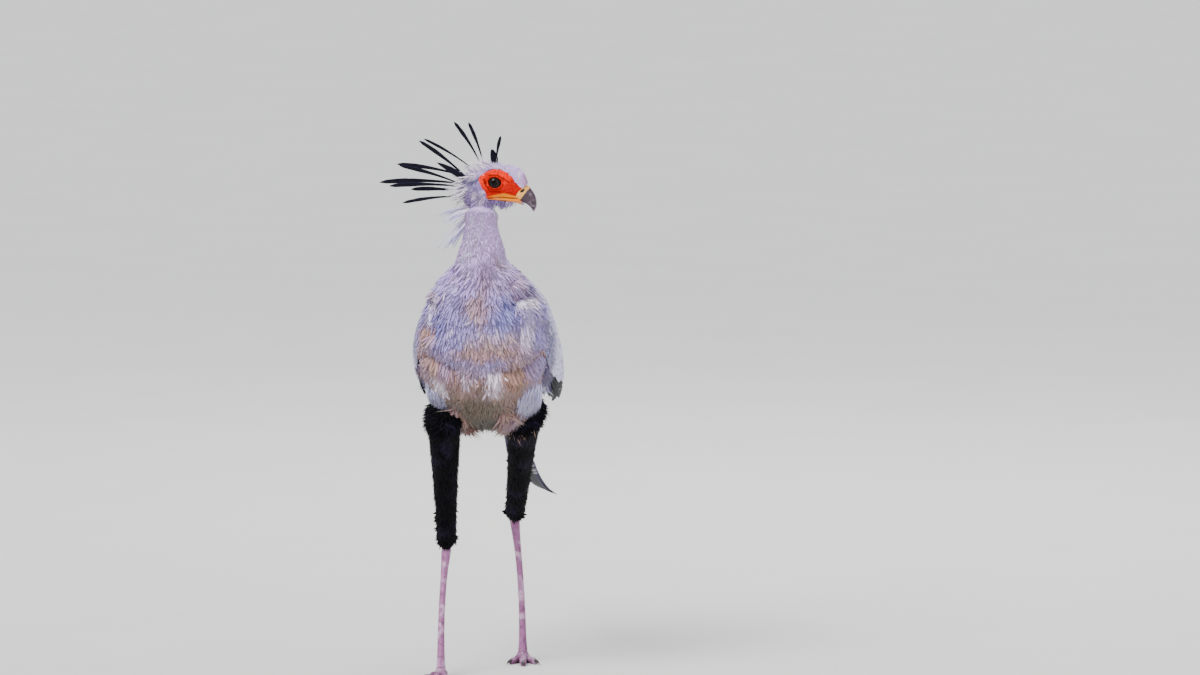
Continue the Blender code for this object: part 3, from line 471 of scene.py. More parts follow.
def scuteMaterial():
    # small plates with dark joints, dusty in patches
    material, shader = startMaterial("legScutes", 0.5, specular=0.45, coat=0.06)
    plates = pattern(material, "TexVoronoi", Scale=330.0, feature="DISTANCE_TO_EDGE")
    dust = pattern(material, "TexNoise", Scale=90.0, Detail=4.0, Roughness=0.6)
    edge = node(material, "MapRange")
    edge.inputs["From Max"].default_value = 0.12
    link(material, plates.outputs["Distance"], edge.inputs["Value"])
    both = mathNode(material, "MULTIPLY", edge.outputs["Result"], 0.35)
    total = mathNode(material, "ADD", both, dust.outputs["Fac"])
    tintTimes(material, shader, total, 0.50, 1.16)
    addBump(material, shader, edge.outputs["Result"], 0.8, 0.0008)
    return material


def hornMaterial(name, roughness, coat):
    # fine streaks that run up and down the horn
    material, shader = startMaterial(name, roughness, specular=0.5, coat=coat)
    stretch = pattern(material, "Mapping")
    stretch.inputs["Scale"].default_value = (1.0, 1.0, 0.35)
    lines = node(material, "TexNoise", Scale=420.0, Detail=4.0, Roughness=0.7)
    link(material, stretch.outputs["Vector"], lines.inputs["Vector"])
    tintTimes(material, shader, lines.outputs["Fac"], 0.70, 1.25)
    addBump(material, shader, lines.outputs["Fac"], 0.25, 0.0004)
    return material


def eyeMaterial(name, side):
    # pupil, iris and dark rim by distance from the eye's own axis
    material, shader = startMaterial(name, 0.06, specular=0.12, coat=0.05)
    shader.inputs["Coat Roughness"].default_value = 0.02
    centre = onHead(0.0, side * headShape["eyeOut"], 0.0) + home
    place = node(material, "TexCoord")
    offset = node(material, "VectorMath", operation="SUBTRACT")
    offset.inputs[1].default_value = tuple(centre)
    link(material, place.outputs["Object"], offset.inputs[0])
    flat = node(material, "VectorMath", operation="MULTIPLY")
    flat.inputs[1].default_value = (1.0, 0.0, 1.0)
    link(material, offset.outputs["Vector"], flat.inputs[0])
    length = node(material, "VectorMath", operation="LENGTH")
    link(material, flat.outputs["Vector"], length.inputs[0])
    streaks = pattern(material, "TexNoise", Scale=900.0, Detail=3.0)
    wobble = mathNode(material, "MULTIPLY", streaks.outputs["Fac"], 0.0012)
    reach = mathNode(material, "ADD", length.outputs["Value"], wobble)
    ramp = node(material, "ValToRGB")
    share = mathNode(material, "DIVIDE", reach, headShape["eyeRadius"])
    link(material, share, ramp.inputs["Fac"])
    stops = ramp.color_ramp.elements
    stops[0].position = 0.42
    stops[0].color = (0.002, 0.0015, 0.0015, 1)
    stops[1].position = 1.0
    stops[1].color = (0.012, 0.007, 0.006, 1)
    iris = ((0.47, (0.010, 0.006, 0.004)), (0.66, (0.016, 0.009, 0.006)),
            (0.78, (0.006, 0.004, 0.004)))
    for position, shade in iris:
        stop = stops.new(position)
        stop.color = (*shade, 1)
    link(material, ramp.outputs["Color"], shader.inputs["Base Color"])
    return material


def groundMaterial():
    material, shader = startMaterial("studioFloor", 0.9, specular=0.2)
    speck = pattern(material, "TexNoise", Scale=3.0, Detail=5.0)
    ramp = node(material, "ValToRGB")
    ramp.color_ramp.elements[0].color = (0.70, 0.71, 0.67, 1)
    ramp.color_ramp.elements[1].color = (0.76, 0.77, 0.73, 1)
    link(material, speck.outputs["Fac"], ramp.inputs["Fac"])
    link(material, ramp.outputs["Color"], shader.inputs["Base Color"])
    return material


paint = {
    "neck": colour(220, 184, 255),
    "neckPale": colour(248, 228, 255),
    "neckDark": colour(156, 130, 184),
    "breast": colour(160, 142, 206),
    "breastPale": colour(218, 204, 252),
    "breastDark": colour(98, 84, 128),
    # painted shade for the hollows beside the neck's column
    "blue": colour(112, 114, 196),
    "buff": colour(176, 128, 100),
    "tan": colour(124, 88, 66),
    # painted shadow at the bottom of the belly
    "ochre": colour(92, 70, 38),
    "bellyShadow": colour(54, 45, 20),
    "fluff": colour(206, 204, 250),
    "black": colour(7, 6, 11),
    # bluish painted sheen on the black trousers
    "blackSheen": colour(32, 27, 46),
    "back": colour(150, 146, 186),
    "shoulder": colour(228, 218, 255),
    "covert": colour(218, 208, 255),
    "covertDark": colour(112, 100, 150),
    "covertEdge": colour(244, 236, 255),
    # dark blue used as painted shade at the lower front of the wing
    "shadeBlue": colour(62, 60, 116),
    "flight": colour(14, 13, 18),
    "flightEdge": colour(46, 40, 54),
    "rump": colour(214, 208, 222),
    "tailGrey": colour(128, 124, 146),
    "tailBlack": colour(16, 14, 20),
    "tailTip": colour(206, 200, 204),
    "crown": colour(212, 184, 250),
    "cheek": colour(158, 132, 196),
    "smudge": colour(70, 70, 122),
    "shade": colour(112, 92, 112),
    "rose": colour(214, 150, 180),
    "orange": colour(255, 38, 0),
    "orangeRed": colour(196, 6, 0),
    "orangeDeep": colour(74, 5, 0),
    "gape": colour(238, 132, 0),
    "cere": colour(246, 178, 84),
    "bill": colour(60, 38, 54),
    "billDark": colour(30, 18, 30),
    "billPale": colour(170, 142, 168),
    "shank": colour(164, 100, 150),
    "shankPale": colour(214, 170, 206),
    "shankDark": colour(80, 42, 70),
    "claw": colour(30, 26, 28),
    "clawTip": colour(64, 56, 58),
    "crest": colour(8, 7, 22),
    "crestEdge": colour(36, 33, 66),
    "lid": colour(240, 158, 70),
}

# edge of the bare face round its middle, as forward and up from the eye
bareFace = {
    "middle": (0.010, -0.006),
    "edge": [
        (-0.0335, 0.000), (-0.0300, 0.013), (-0.0215, 0.0172), (-0.008, 0.0265), (0.005, 0.0288),
        (0.0195, 0.0262), (0.0326, 0.0186), (0.0431, 0.0080), (0.052, 0.001), (0.062, -0.006),
        (0.062, -0.032), (0.040, -0.041), (0.006, -0.0400), (-0.010, -0.0405), (-0.0150, -0.0365),
        (-0.0135, -0.0290), (-0.0190, -0.0200), (-0.0270, -0.0100),
    ],
    "soft": 0.0014,
    # upper edge of the yellow strip over the mouth, the mouth itself, and folds of the skin
    "strip": [(-0.016, -0.0320), (0.0013, -0.0265), (0.0237, -0.0193), (0.0386, -0.0219), (0.0520, -0.0226)],
    "mouth": [(-0.0125, -0.0370), (0.0015, -0.0331), (0.0243, -0.0290), (0.0391, -0.0283),
              (0.0507, -0.0271), (0.0600, -0.0318)],
    "folds": [
        [(-0.012, 0.0140), (0.004, 0.0165), (0.0221, 0.0088), (0.0300, 0.0040)],
        [(-0.0120, -0.0105), (0.000, -0.0150), (0.0120, -0.0120), (0.0185, -0.0030)],
        [(-0.022, 0.004), (-0.017, -0.010), (-0.004, -0.0200), (0.014, -0.0180)],
    ],
    "smudge": [(-0.033, 0.003), (-0.045, 0.001), (-0.056, -0.001)],
    "cereFrom": 0.0528,
}
# soft patches of the plumage and of painted shade: x, z, reach along x and z, colour, strength
patches = [
    (-0.0765, 0.617, 0.012, 0.030, "neckPale", 0.90),
    (-0.0235, 0.642, 0.011, 0.015, "neckPale", 0.80),
    (0.0317, 0.636, 0.016, 0.030, "neckPale", 0.90),
    (-0.0500, 0.604, 0.014, 0.032, "tan", 0.70),
    (0.0030, 0.628, 0.010, 0.022, "tan", 0.85),
    (0.0550, 0.590, 0.024, 0.020, "tan", 0.55),
    (0.0000, 0.575, 0.050, 0.036, "ochre", 0.90),
    # painted shadow at the bottom of the belly
    (0.0040, 0.532, 0.048, 0.026, "bellyShadow", 0.90),
    (-0.1350, 0.655, 0.018, 0.016, "buff", 0.90),
    (-0.0926, 0.727, 0.018, 0.018, "buff", 0.75),
    # the next two: painted shade in the hollows on both sides of the neck's column
    (-0.0650, 0.763, 0.015, 0.032, "blue", 0.60),
    (0.0560, 0.780, 0.018, 0.034, "blue", 0.70),
    (0.0925, 0.790, 0.018, 0.011, "neckPale", 0.90),
    (0.0960, 0.728, 0.015, 0.024, "neckPale", 0.70),
    (0.1300, 0.690, 0.022, 0.012, "buff", 0.90),
    (0.0160, 0.790, 0.014, 0.050, "buff", 0.50),
    (-0.0190, 0.800, 0.013, 0.013, "breastDark", 0.60),
    (0.0850, 0.815, 0.022, 0.010, "breastDark", 0.70),
    (-0.0800, 0.792, 0.007, 0.010, "breastDark", 0.60),
    (0.0100, 0.700, 0.060, 0.014, "buff", 0.60),
]


def lineDistance(x, y, line):
    # distance from a broken line in a plane
    best = np.full(np.shape(x), 9.0)
    for (startX, startY), (endX, endY) in zip(line, line[1:]):
        stepX, stepY = endX - startX, endY - startY
        share = np.clip(((x - startX) * stepX + (y - startY) * stepY) / (stepX ** 2 + stepY ** 2), 0, 1)
        best = np.minimum(best, np.hypot(x - startX - share * stepX, y - startY - share * stepY))
    return best


def bareShare(points):
    # 1 on the bare face, 0 under feathers
    forward, left, up = inHead(points)
    x = forward - bareFace["middle"][0]
    y = up - bareFace["middle"][1]
    edge = np.array(bareFace["edge"]) - np.array(bareFace["middle"])
    turns = np.arctan2(edge[:, 1], edge[:, 0])
    order = np.argsort(turns)
    edgeReach = np.hypot(edge[:, 0], edge[:, 1])[order]
    reach = np.interp(np.arctan2(y, x), turns[order], edgeReach, period=2 * math.pi)
    ragged = (blotches(points, 0.003, 11) - 0.5) * 0.0024
    onSide = smooth(np.abs(left), 0.004, 0.008)
    return smooth(reach - np.hypot(x, y) + ragged, -bareFace["soft"], bareFace["soft"]) * onSide


def faceTint(points):
    # orange skin, redder in front, yellow along the mouth, cream towards the bill; painted shade in the
    # folds, the crease under the eye and along the mouth
    forward, _, up = inHead(points)
    fine = blotches(points, 0.0022, 22)
    tint = mix(paint["orange"], paint["orangeRed"], 0.85 * smooth(forward - 0.9 * up, 0.012, 0.032))
    tint = mix(tint, paint["orangeRed"], 0.8 * smooth(up, -0.008, -0.020))
    tint = mix(tint, paint["orangeRed"], 0.7 * smooth(blotches(points, 0.006, 21), 0.5, 0.85))
    # painted shade in the folds of the skin
    for fold in bareFace["folds"]:
        tint = mix(tint, paint["orangeDeep"], 0.85 * bell(lineDistance(forward, up, fold), 0.0013))
    tint = mix(tint, paint["orangeDeep"], 0.45 * smooth(fine, 0.55, 0.9))
    # painted shade in the crease under the eye
    ring = np.hypot(forward / headShape["lidLong"], up / headShape["lidHigh"])
    tint = mix(tint, paint["orangeDeep"], 0.6 * bell(ring - 1.27, 0.10) * smooth(up, 0.006, -0.002))
    strip = np.interp(forward, *np.array(bareFace["strip"]).T)
    yellow = smooth(up, strip + 0.0012, strip - 0.0010) * smooth(forward, -0.018, 0.008)
    tint = mix(tint, paint["gape"], yellow)
    mouth = np.interp(forward, *np.array(bareFace["mouth"]).T)
    # painted shade along the line of the mouth
    tint = mix(tint, paint["orangeDeep"] * 0.5, 0.9 * bell(up - mouth, 0.0009))
    ahead = forward * math.cos(headShape["billSlope"]) + up * math.sin(headShape["billSlope"])
    tint = mix(tint, paint["cere"], smooth(ahead, bareFace["cereFrom"] - 0.002, bareFace["cereFrom"]))
    return tint


def headTint(points):
    forward, _, up = inHead(points)
    tint = mix(paint["cheek"], paint["crown"], smooth(up, -0.014, 0.014))
    tint = mix(tint, paint["neckPale"], 0.7 * smooth(blotches(points, 0.008, 31), 0.5, 0.85))
    tint = mix(tint, paint["neckDark"], 0.7 * smooth(blotches(points, 0.005, 32), 0.6, 0.9))
    tint = mix(tint, paint["rose"], 0.5 * smooth(forward, 0.048, 0.060) * smooth(up, -0.004, 0.01))
    tint = mix(tint, paint["smudge"], 0.9 * bell(lineDistance(forward, up, bareFace["smudge"]), 0.0042))
    # dark spot over the ear, then painted shade low on the cheek
    tint = mix(tint, paint["shade"], 0.8 * spot(forward + 0.052, up + 0.023, 0.004, 0.006))
    tint = mix(tint, paint["shade"], 0.7 * spot(forward + 0.024, up + 0.033, 0.014, 0.006))
    tint = mix(tint, paint["neckPale"], 0.8 * smooth(forward, -0.050, -0.060) * smooth(up, -0.01, 0.0))
    edge = bareShare(points)
    # dark line along the top of the bare face: partly short black bristles, partly painted shadow of the
    # overhanging feathers
    return mix(tint, paint["smudge"] * 0.6, 0.8 * smooth(edge, 0.02, 0.3) * smooth(up, 0.004, 0.012))


def bodyTint(points):
    # lilac grey neck and breast, buff streaks below, ochre belly, white flanks, grey back
    x, y, z = points[..., 0], points[..., 1], points[..., 2]
    streaked = points * np.array((1.0, 1.0, 0.28))
    streak = blotches(streaked, 0.008, 5)
    patch = blotches(points, 0.036, 6)
    small = blotches(streaked, 0.016, 7)
    shifted = x + 0.012 * (blotches(streaked, 0.014, 13) - 0.5)
    tint = mix(paint["breast"], paint["neck"], smooth(z, 0.78, 0.90))
    tint = mix(tint, paint["breastPale"], 0.8 * smooth(streak + 0.5 * (patch - 0.5), 0.55, 0.85))
    tint = mix(tint, paint["breastDark"], 0.55 * smooth(small, 0.62, 0.95) * smooth(z, 0.98, 0.84))
    tint = mix(tint, paint["buff"], 0.45 * smooth(small + patch, 1.0, 1.5) * smooth(z, 0.70, 0.90))
    tan = smooth(z, 0.78, 0.60) * 0.80 + 0.9 * (patch - 0.5) + 0.6 * (streak - 0.5)
    tint = mix(tint, paint["buff"], np.clip(tan, 0, 0.9) * smooth(z, 0.86, 0.78))
    tint = mix(tint, paint["tan"], 0.75 * smooth(z, 0.66, 0.58) * smooth(small, 0.3, 0.8))
    front = smooth(y, 0.0, -0.05)
    for spotX, spotZ, reachX, reachZ, name, strength in patches:
        near = spot(shifted - spotX, z - spotZ, reachX, reachZ)
        tint = mix(tint, paint[name], strength * smooth(near, 0.15, 0.75) * front)
    flank = smooth(np.abs(x - 0.005), 0.095, 0.118) * smooth(z, 0.645, 0.600)
    tint = mix(tint, paint["fluff"], 0.9 * flank)
    back = smooth(y - 0.35 * (0.86 - z), -0.075, -0.02) * smooth(z, 0.62, 0.68)
    tint = mix(tint, mix(paint["back"], paint["covertEdge"], 0.4 * streak), back)
    return mix(tint, paint["rump"], smooth(y, 0.17, 0.24))


def leanOf(z):
    # how far the shoulders lean to the bird's left at a height
    return bodyShape["lean"] * np.maximum(0, 1 - np.abs(z - bodyShape["leanAt"]) / bodyShape["leanReach"])


def bodyPoint(rows, place, angle, coat):
    # angle is 90 degrees at the back and -90 at the belly
    backY, backZ, bellyY, bellyZ, half, shift = np.moveaxis(along(rows, place), -1, 0)
    across = np.cos(angle)
    share = 0.5 + 0.5 * np.sin(angle) * (1 - 2 * coat / np.hypot(backY - bellyY, backZ - bellyZ))
    z = bellyZ + (backZ - bellyZ) * share
    lean = leanOf(z)
    x = shift + np.sign(across) * np.abs(across) ** 0.88 * (half - coat) + lean
    return np.stack((x, bellyY + (backY - bellyY) * share, z), axis=-1)


def ringAngles(count):
    return 2 * math.pi * np.arange(count) / count


def bodyTube():
    angles = ringAngles(44)[None, :]
    torsoPlaces = np.linspace(0, 7, 24)[:, None]
    neckPlaces = np.linspace(0.25, 5, 18)[:, None]
    torso = bodyPoint(bodyShape["torso"], torsoPlaces, angles, bodyShape["torsoCoat"])
    deeper = bodyShape["torsoCoat"] - bodyShape["neckCoat"]
    fade = bodyShape["neckCoat"] + deeper * np.maximum(0, 1 - neckPlaces)
    fade = fade + 0.014 * np.maximum(0, neckPlaces - 3.6)
    neck = bodyPoint(bodyShape["neck"], neckPlaces, angles, fade)
    return loft("bodyTube", np.concatenate((torso, neck)))


def foldBreast(points):
    # sinks soft hollows into the front of the body
    x, y, z = points.T
    front = smooth(y, -0.04, -0.12)
    for fold in bodyShape["folds"]:
        hollow = bell(lineDistance(x, z, fold), bodyShape["foldWidth"])
        points[:, 1] += bodyShape["foldDepth"] * hollow * front
    return points


def legRing(point, axis, halfWidth, halfDepth, count):
    axis = unit(np.asarray(axis, float))
    forward = np.array((0.0, -1.0, 0.0))
    front = unit(forward - axis * (forward @ axis))
    across = np.cross(axis, front)
    turn = ringAngles(count)[:, None]
    return point + across * halfWidth * np.cos(turn) + front * halfDepth * np.sin(turn)


def trouserTube(leg):
    axis = leg["ankle"] - leg["knee"]
    rings = []
    for place in np.linspace(0, len(trouserShape["rows"]) - 1, 22):
        share, halfWidth, halfDepth = along(trouserShape["rows"], place)
        point = leg["knee"] + axis * share
        if share < 0:
            point = leg["knee"] + (leg["hip"] - leg["knee"]) * (-share / 0.22 * 0.5)
        coat = trouserShape["coat"]
        rings.append(legRing(point, axis, halfWidth - coat, halfDepth - coat, 28))
    return loft("trouserTube", rings)


def wingSheet(side, s, v, h):
    # point on the folded wing: s runs back, v runs down, h is the height over the sheet
    def flat(sAt, vAt):
        topY, topZ, lowY, lowZ, topX, midX, lowX = np.moveaxis(
            along(wingShape["rows"], sAt * (len(wingShape["rows"]) - 1)), -1, 0)
        x = (1 - vAt) ** 2 * topX + 2 * vAt * (1 - vAt) * midX + vAt ** 2 * lowX
        z = topZ + (lowZ - topZ) * vAt
        lean = leanOf(z)
        return np.stack((side * x + lean, topY + (lowY - topY) * vAt, z), axis=-1)

    s, v, h = np.broadcast_arrays(s, v, h)
    step = 0.01
    back = flat(s + step, v) - flat(s - step, v)
    down = flat(s, v + step) - flat(s, v - step)
    out = unit(np.cross(back, down))
    out = out * np.sign(out[..., :1] * side)
    return flat(s, v) + out * h[..., None]


def coreLevel(s):
    return -0.0005 - 0.031 * s


def wingCore(side):
    # the firm part of the wing under its feathers
    rings = []
    end = wingShape["coreEnd"]
    spread = np.linspace(-0.5, 0.5, 12)
    for s in np.linspace(0, end, 20):
        front = max(0.25, math.sqrt(1 - (1 - min(1, s / 0.10)) ** 2))
        full = front * max(0.20, math.sqrt(1 - (1 - min(1, (end - s) / 0.10)) ** 2))
        top = coreLevel(s) - 0.010 * (1 - front) - wingShape["coreDrop"]
        depth = max(0.006, (0.030 - 0.030 * s) * full)
        outer = wingSheet(side, s, 0.5 + spread * (0.35 + 0.60 * full), top)
        inner = wingSheet(side, s, 0.5 - spread * (0.30 + 0.58 * full), top - depth)
        rings.append(np.concatenate((outer, inner)))
    return loft("wingCore", rings)


def tailFrame(place):
    # point, up and sideways directions on the path of the tail
    path = tailShape["path"]
    last = len(path) - 1
    place = np.asarray(place, float)
    ahead = unit(along(path, np.minimum(place + 0.05, last)) - along(path, np.maximum(place - 0.05, 0)))
    across = np.array((1.0, 0.0, 0.0))
    across = unit(across - ahead * (ahead @ across)[..., None])
    lift = unit(np.cross(across, ahead))
    past = np.maximum(0, place - tailShape["twistFrom"])
    turn = tailShape["twist"] * past / (last - tailShape["twistFrom"])
    cos, sin = np.cos(turn)[..., None], np.sin(turn)[..., None]
    return along(path, place), lift * cos - across * sin, across * cos + lift * sin


def tailRoot():
    # short firm root that carries the tail feathers
    rings = []
    turn = ringAngles(24)[:, None]
    for share in np.linspace(-0.06, 1, 12):
        here, lift, across = tailFrame(tailShape["rootEnd"] * max(share, 0))
        half = 0.030 * (1 - max(share, 0)) ** 0.6 + 0.004
        thick = 0.023 * (1 - max(share, 0)) ** 0.8 + 0.0025
        level = thick * np.sin(turn) - tailShape["step"] * 5
        rings.append(here + across * half * np.cos(turn) + lift * level)
    return loft("tailRoot", rings)


def headRings(coat):
    places = np.linspace(0, len(headShape["rows"]) - 1, headShape["rings"])
    forward, top, bottom, half = (value[:, None] for value in along(headShape["rows"], places).T)
    angles = ringAngles(headShape["sides"])[None, :]
    across, up = np.cos(angles), np.sin(angles)
    coat = coat * smooth(forward, 0.06, 0.02)
    width = (half - coat) * np.sign(across) * np.abs(across) ** 0.9 * (0.90 + 0.10 * up)
    height = bottom + coat + (top - bottom - 2 * coat) * (0.5 + 0.5 * up)
    return onHead(forward + 0 * width, width, height)


def headMesh():
    # feathered parts lie deeper by the coat, the bare face doesn't
    outer = headRings(0.0)
    skull = loft("skull", mix(headRings(headShape["coat"]), outer, bareShare(outer)))
    mesh = bmesh.new()
    mesh.from_mesh(skull.data)
    near = []
    for edge in mesh.edges:
        f, l, u = inHead(np.array((edge.verts[0].co + edge.verts[1].co) / 2))
        if abs(l) > 0.008 and -0.034 < f < 0.062 and -0.042 < u < 0.030:
            near.append(edge)
    bmesh.ops.subdivide_edges(mesh, edges=near, cuts=1, use_grid_fill=True)
    bmesh.ops.triangulate(mesh, faces=[face for face in mesh.faces if len(face.verts) > 4])
    mesh.to_mesh(skull.data)
    mesh.free()
    setPoints(skull, sculptFace(pointsOf(skull)))
    return skull


def sculptFace(points):
    # eye sockets and lids, brow, folds of the bare skin, line of the mouth, flat at the bill
    forward, left, up = inHead(points)
    side = np.sign(left)
    out = np.abs(left)
    onSide = smooth(out, 0.006, 0.012)
    long, high = headShape["lidLong"], headShape["lidHigh"]
    ring = np.hypot(forward / long, up / high)
    angle = np.arctan2(up / high, forward / long)
    ballReach = headShape["eyeRadius"] ** 2
    depth = ballReach - (long * np.cos(angle)) ** 2 - (high * np.sin(angle)) ** 2
    rim = headShape["eyeOut"] + np.sqrt(depth)
    rim = rim + 0.0007 + 0.0006 * np.maximum(0, np.sin(angle))
    level = rim + 0.0050 * np.maximum(0, ring - 1)
    socket = out + (np.minimum(level, out + 0.0015) - out) * smooth(ring, 2.0, 1.12)
    ball = headShape["eyeOut"] + np.sqrt(np.maximum(ballReach - forward ** 2 - up ** 2, 0))
    within = np.minimum(ball - 0.003, rim) + (socket - ball + 0.003) * smooth(ring, 0.86, 1.0)
    shaped = np.where(ring < 1.0, within, socket)
    out = out + (shaped - out) * onSide * (ring < 2.2)
    brow = spot(forward - 0.006, up - 0.0205 + 0.25 * forward, 0.022, 0.0042)
    out = out + 0.0020 * brow * onSide
    for fold in bareFace["folds"]:
        out = out - 0.0008 * bell(lineDistance(forward, up, fold), 0.0010) * onSide
    wrinkle = np.sin(up / 0.0016 + 2.2 * np.sin(forward / 0.007) + 4 * blotches(points, 0.010, 41))
    out = out + 0.00025 * wrinkle * bareShare(points) * (ring > 1.3)
    mouth = np.interp(forward, *np.array(bareFace["mouth"]).T)
    gape = smooth(forward, -0.0165, -0.010) * smooth(out, 0.004, 0.008)
    lip = bell(up - mouth - 0.0028, 0.0016)
    out = out + (0.0010 * lip - 0.0030 * smooth(up, mouth + 0.0008, mouth - 0.0006)) * gape
    corner = spot(forward + 0.0120, up + 0.0365, 0.0045, 0.0035)
    out = out + 0.0030 * corner * onSide
    planeF, planeU = headShape["billPlane"]
    slope = headShape["billSlope"]
    past = (forward - planeF) * math.cos(slope) + (up - planeU) * math.sin(slope)
    past = np.maximum(0, past - 0.0006)
    forward = forward - past * math.cos(slope)
    up = up - past * math.sin(slope)
    return onHead(forward, side * out, up)


def treeOf(item):
    points = pointsOf(item)
    return BVHTree.FromPolygons([Vector(p) for p in points], [tuple(f.vertices) for f in item.data.polygons])


def evenOut(item, points, share, rounds):
    # evens out the mesh where share is above 0
    ends = np.array([tuple(edge.vertices) for edge in item.data.edges])
    count = np.bincount(ends.ravel(), minlength=len(points))[:, None]
    for _ in range(rounds):
        total = np.zeros_like(points)
        np.add.at(total, ends[:, 0], points[ends[:, 1]])
        np.add.at(total, ends[:, 1], points[ends[:, 0]])
        points = points + (total / np.maximum(count, 1) - points) * (0.6 * share[:, None])
    return points


def makeSkin():
    # one closed skin under all the feathers, with the part of the bird that each point is on
    parts = {"body": bodyTube(), "tail": tailRoot()}
    for word, leg in legShape.items():
        parts["thigh_" + word] = trouserTube(leg)
        parts["wing_" + word] = wingCore(leg["mirror"])
    trees = {name: treeOf(item) for name, item in parts.items()}
    clearSelection()
    for item in parts.values():
        item.select_set(True)
    skin = parts["body"]
    bpy.context.view_layer.objects.active = skin
    bpy.ops.object.join()
    remesh = skin.modifiers.new("oneSkin", "REMESH")
    remesh.mode = "VOXEL"
    remesh.voxel_size = bodyShape["voxel"]
    soften = skin.modifiers.new("soften", "SMOOTH")
    soften.factor = 0.5
    soften.iterations = 4
    applyAll(skin)
    setPoints(skin, foldBreast(pointsOf(skin)))
    skull = headMesh()
    trees["head"] = treeOf(skull)
    union = skin.modifiers.new("head", "BOOLEAN")
    union.operation = "UNION"
    union.solver = "EXACT"
    union.object = skull
    applyAll(skin)
    bpy.data.objects.remove(skull)
    skin.name = "skin"
    names = list(trees)
    points = pointsOf(skin)
    nearest = np.array([[trees[name].find_nearest(Vector(p))[3] for name in names] for p in points])
    region = np.argmin(nearest, axis=1)
    seam = smooth(np.maximum(nearest[:, names.index("head")], nearest[:, names.index("body")]), 0.024, 0.006)
    seam = seam * smooth(inHead(points)[2], 0.005, -0.02) * (1 - bareShare(points))
    setPoints(skin, evenOut(skin, points, seam, 70))
    pick(skin)
    bpy.ops.object.mode_set(mode="EDIT")
    bpy.ops.mesh.select_all(action="SELECT")
    bpy.ops.uv.smart_project(angle_limit=math.radians(66), island_margin=0.001)
    bpy.ops.object.mode_set(mode="OBJECT")
    skin.data.uv_layers[0].name = "OFBake"
    skin.data.shade_smooth()
    print("skin", len(skin.data.polygons), "faces")
    return skin, {name: region == i for i, name in enumerate(names)}


def skinSpots(skin, regions):
    # the skin as arrays of triangles, for setting feathers on it
    mesh = skin.data
    mesh.calc_loop_triangles()
    count = len(mesh.loop_triangles)
    corners = np.zeros(count * 3, np.int32)
    loops = np.zeros(count * 3, np.int32)
    mesh.loop_triangles.foreach_get("vertices", corners)
    mesh.loop_triangles.foreach_get("loops", loops)
    normals = np.zeros(len(mesh.vertices) * 3, np.float32)
    mesh.vertices.foreach_get("normal", normals)
    places = np.zeros(len(mesh.loops) * 2, np.float32)
    mesh.uv_layers["OFBake"].data.foreach_get("uv", places)
    corners = corners.reshape(-1, 3)
    points = pointsOf(skin)[corners]
    first, second = points[:, 1] - points[:, 0], points[:, 2] - points[:, 0]
    return {
        "points": points,
        "normals": normals.reshape(-1, 3)[corners],
        "places": places.reshape(-1, 2)[loops.reshape(-1, 3)],
        "area": 0.5 * np.linalg.norm(np.cross(first, second), axis=1),
        "middle": points.mean(axis=1),
        "regions": {name: mask[corners].mean(axis=1) > 0.5 for name, mask in regions.items()},
    }


def scatter(spots, count, weight, rng):
    chance = np.cumsum(spots["area"] * weight)
    pickAt = (np.arange(count) + rng.random(count)) / count * chance[-1]
    chosen = np.minimum(np.searchsorted(chance, pickAt), len(chance) - 1)
    a = np.sqrt(rng.random(count))
    b = rng.random(count)
    shares = np.stack((1 - a, a * (1 - b), a * b), axis=1)[:, :, None]
    return ((spots["points"][chosen] * shares).sum(axis=1),
            unit((spots["normals"][chosen] * shares).sum(axis=1)),
            (spots["places"][chosen] * shares).sum(axis=1))


def tuftForm(stations):
    # closed feather of three sides: share of its length, across, up and width at each point
    a, c, e, w = [], [], [], []
    for share, width in stations:
        a += [share] * 3
        c += [-1, 0, 1]
        e += [0, 1, 0]
        w += [width] * 3
    a.append(1.0)
    c.append(0)
    e.append(0)
    w.append(0)
    faces = []
    for level in range(len(stations) - 1):
        for i, j in ((0, 1), (1, 2), (2, 0)):
            low, high = level * 3, level * 3 + 3
            faces += [(low + i, low + j, high + j), (low + i, high + j, high + i)]
    top = len(stations) * 3 - 3
    faces += [(top + i, top + j, len(a) - 1) for i, j in ((0, 1), (1, 2), (2, 0))]
    faces.append((2, 1, 0))
    return np.array(a), np.array(c), np.array(e), np.array(w), np.array(faces)


wispForm = tuftForm(((0.0, 0.55), (0.5, 1.0)))
leafForm = tuftForm(((0.0, 0.6), (0.45, 1.0), (0.85, 0.72)))


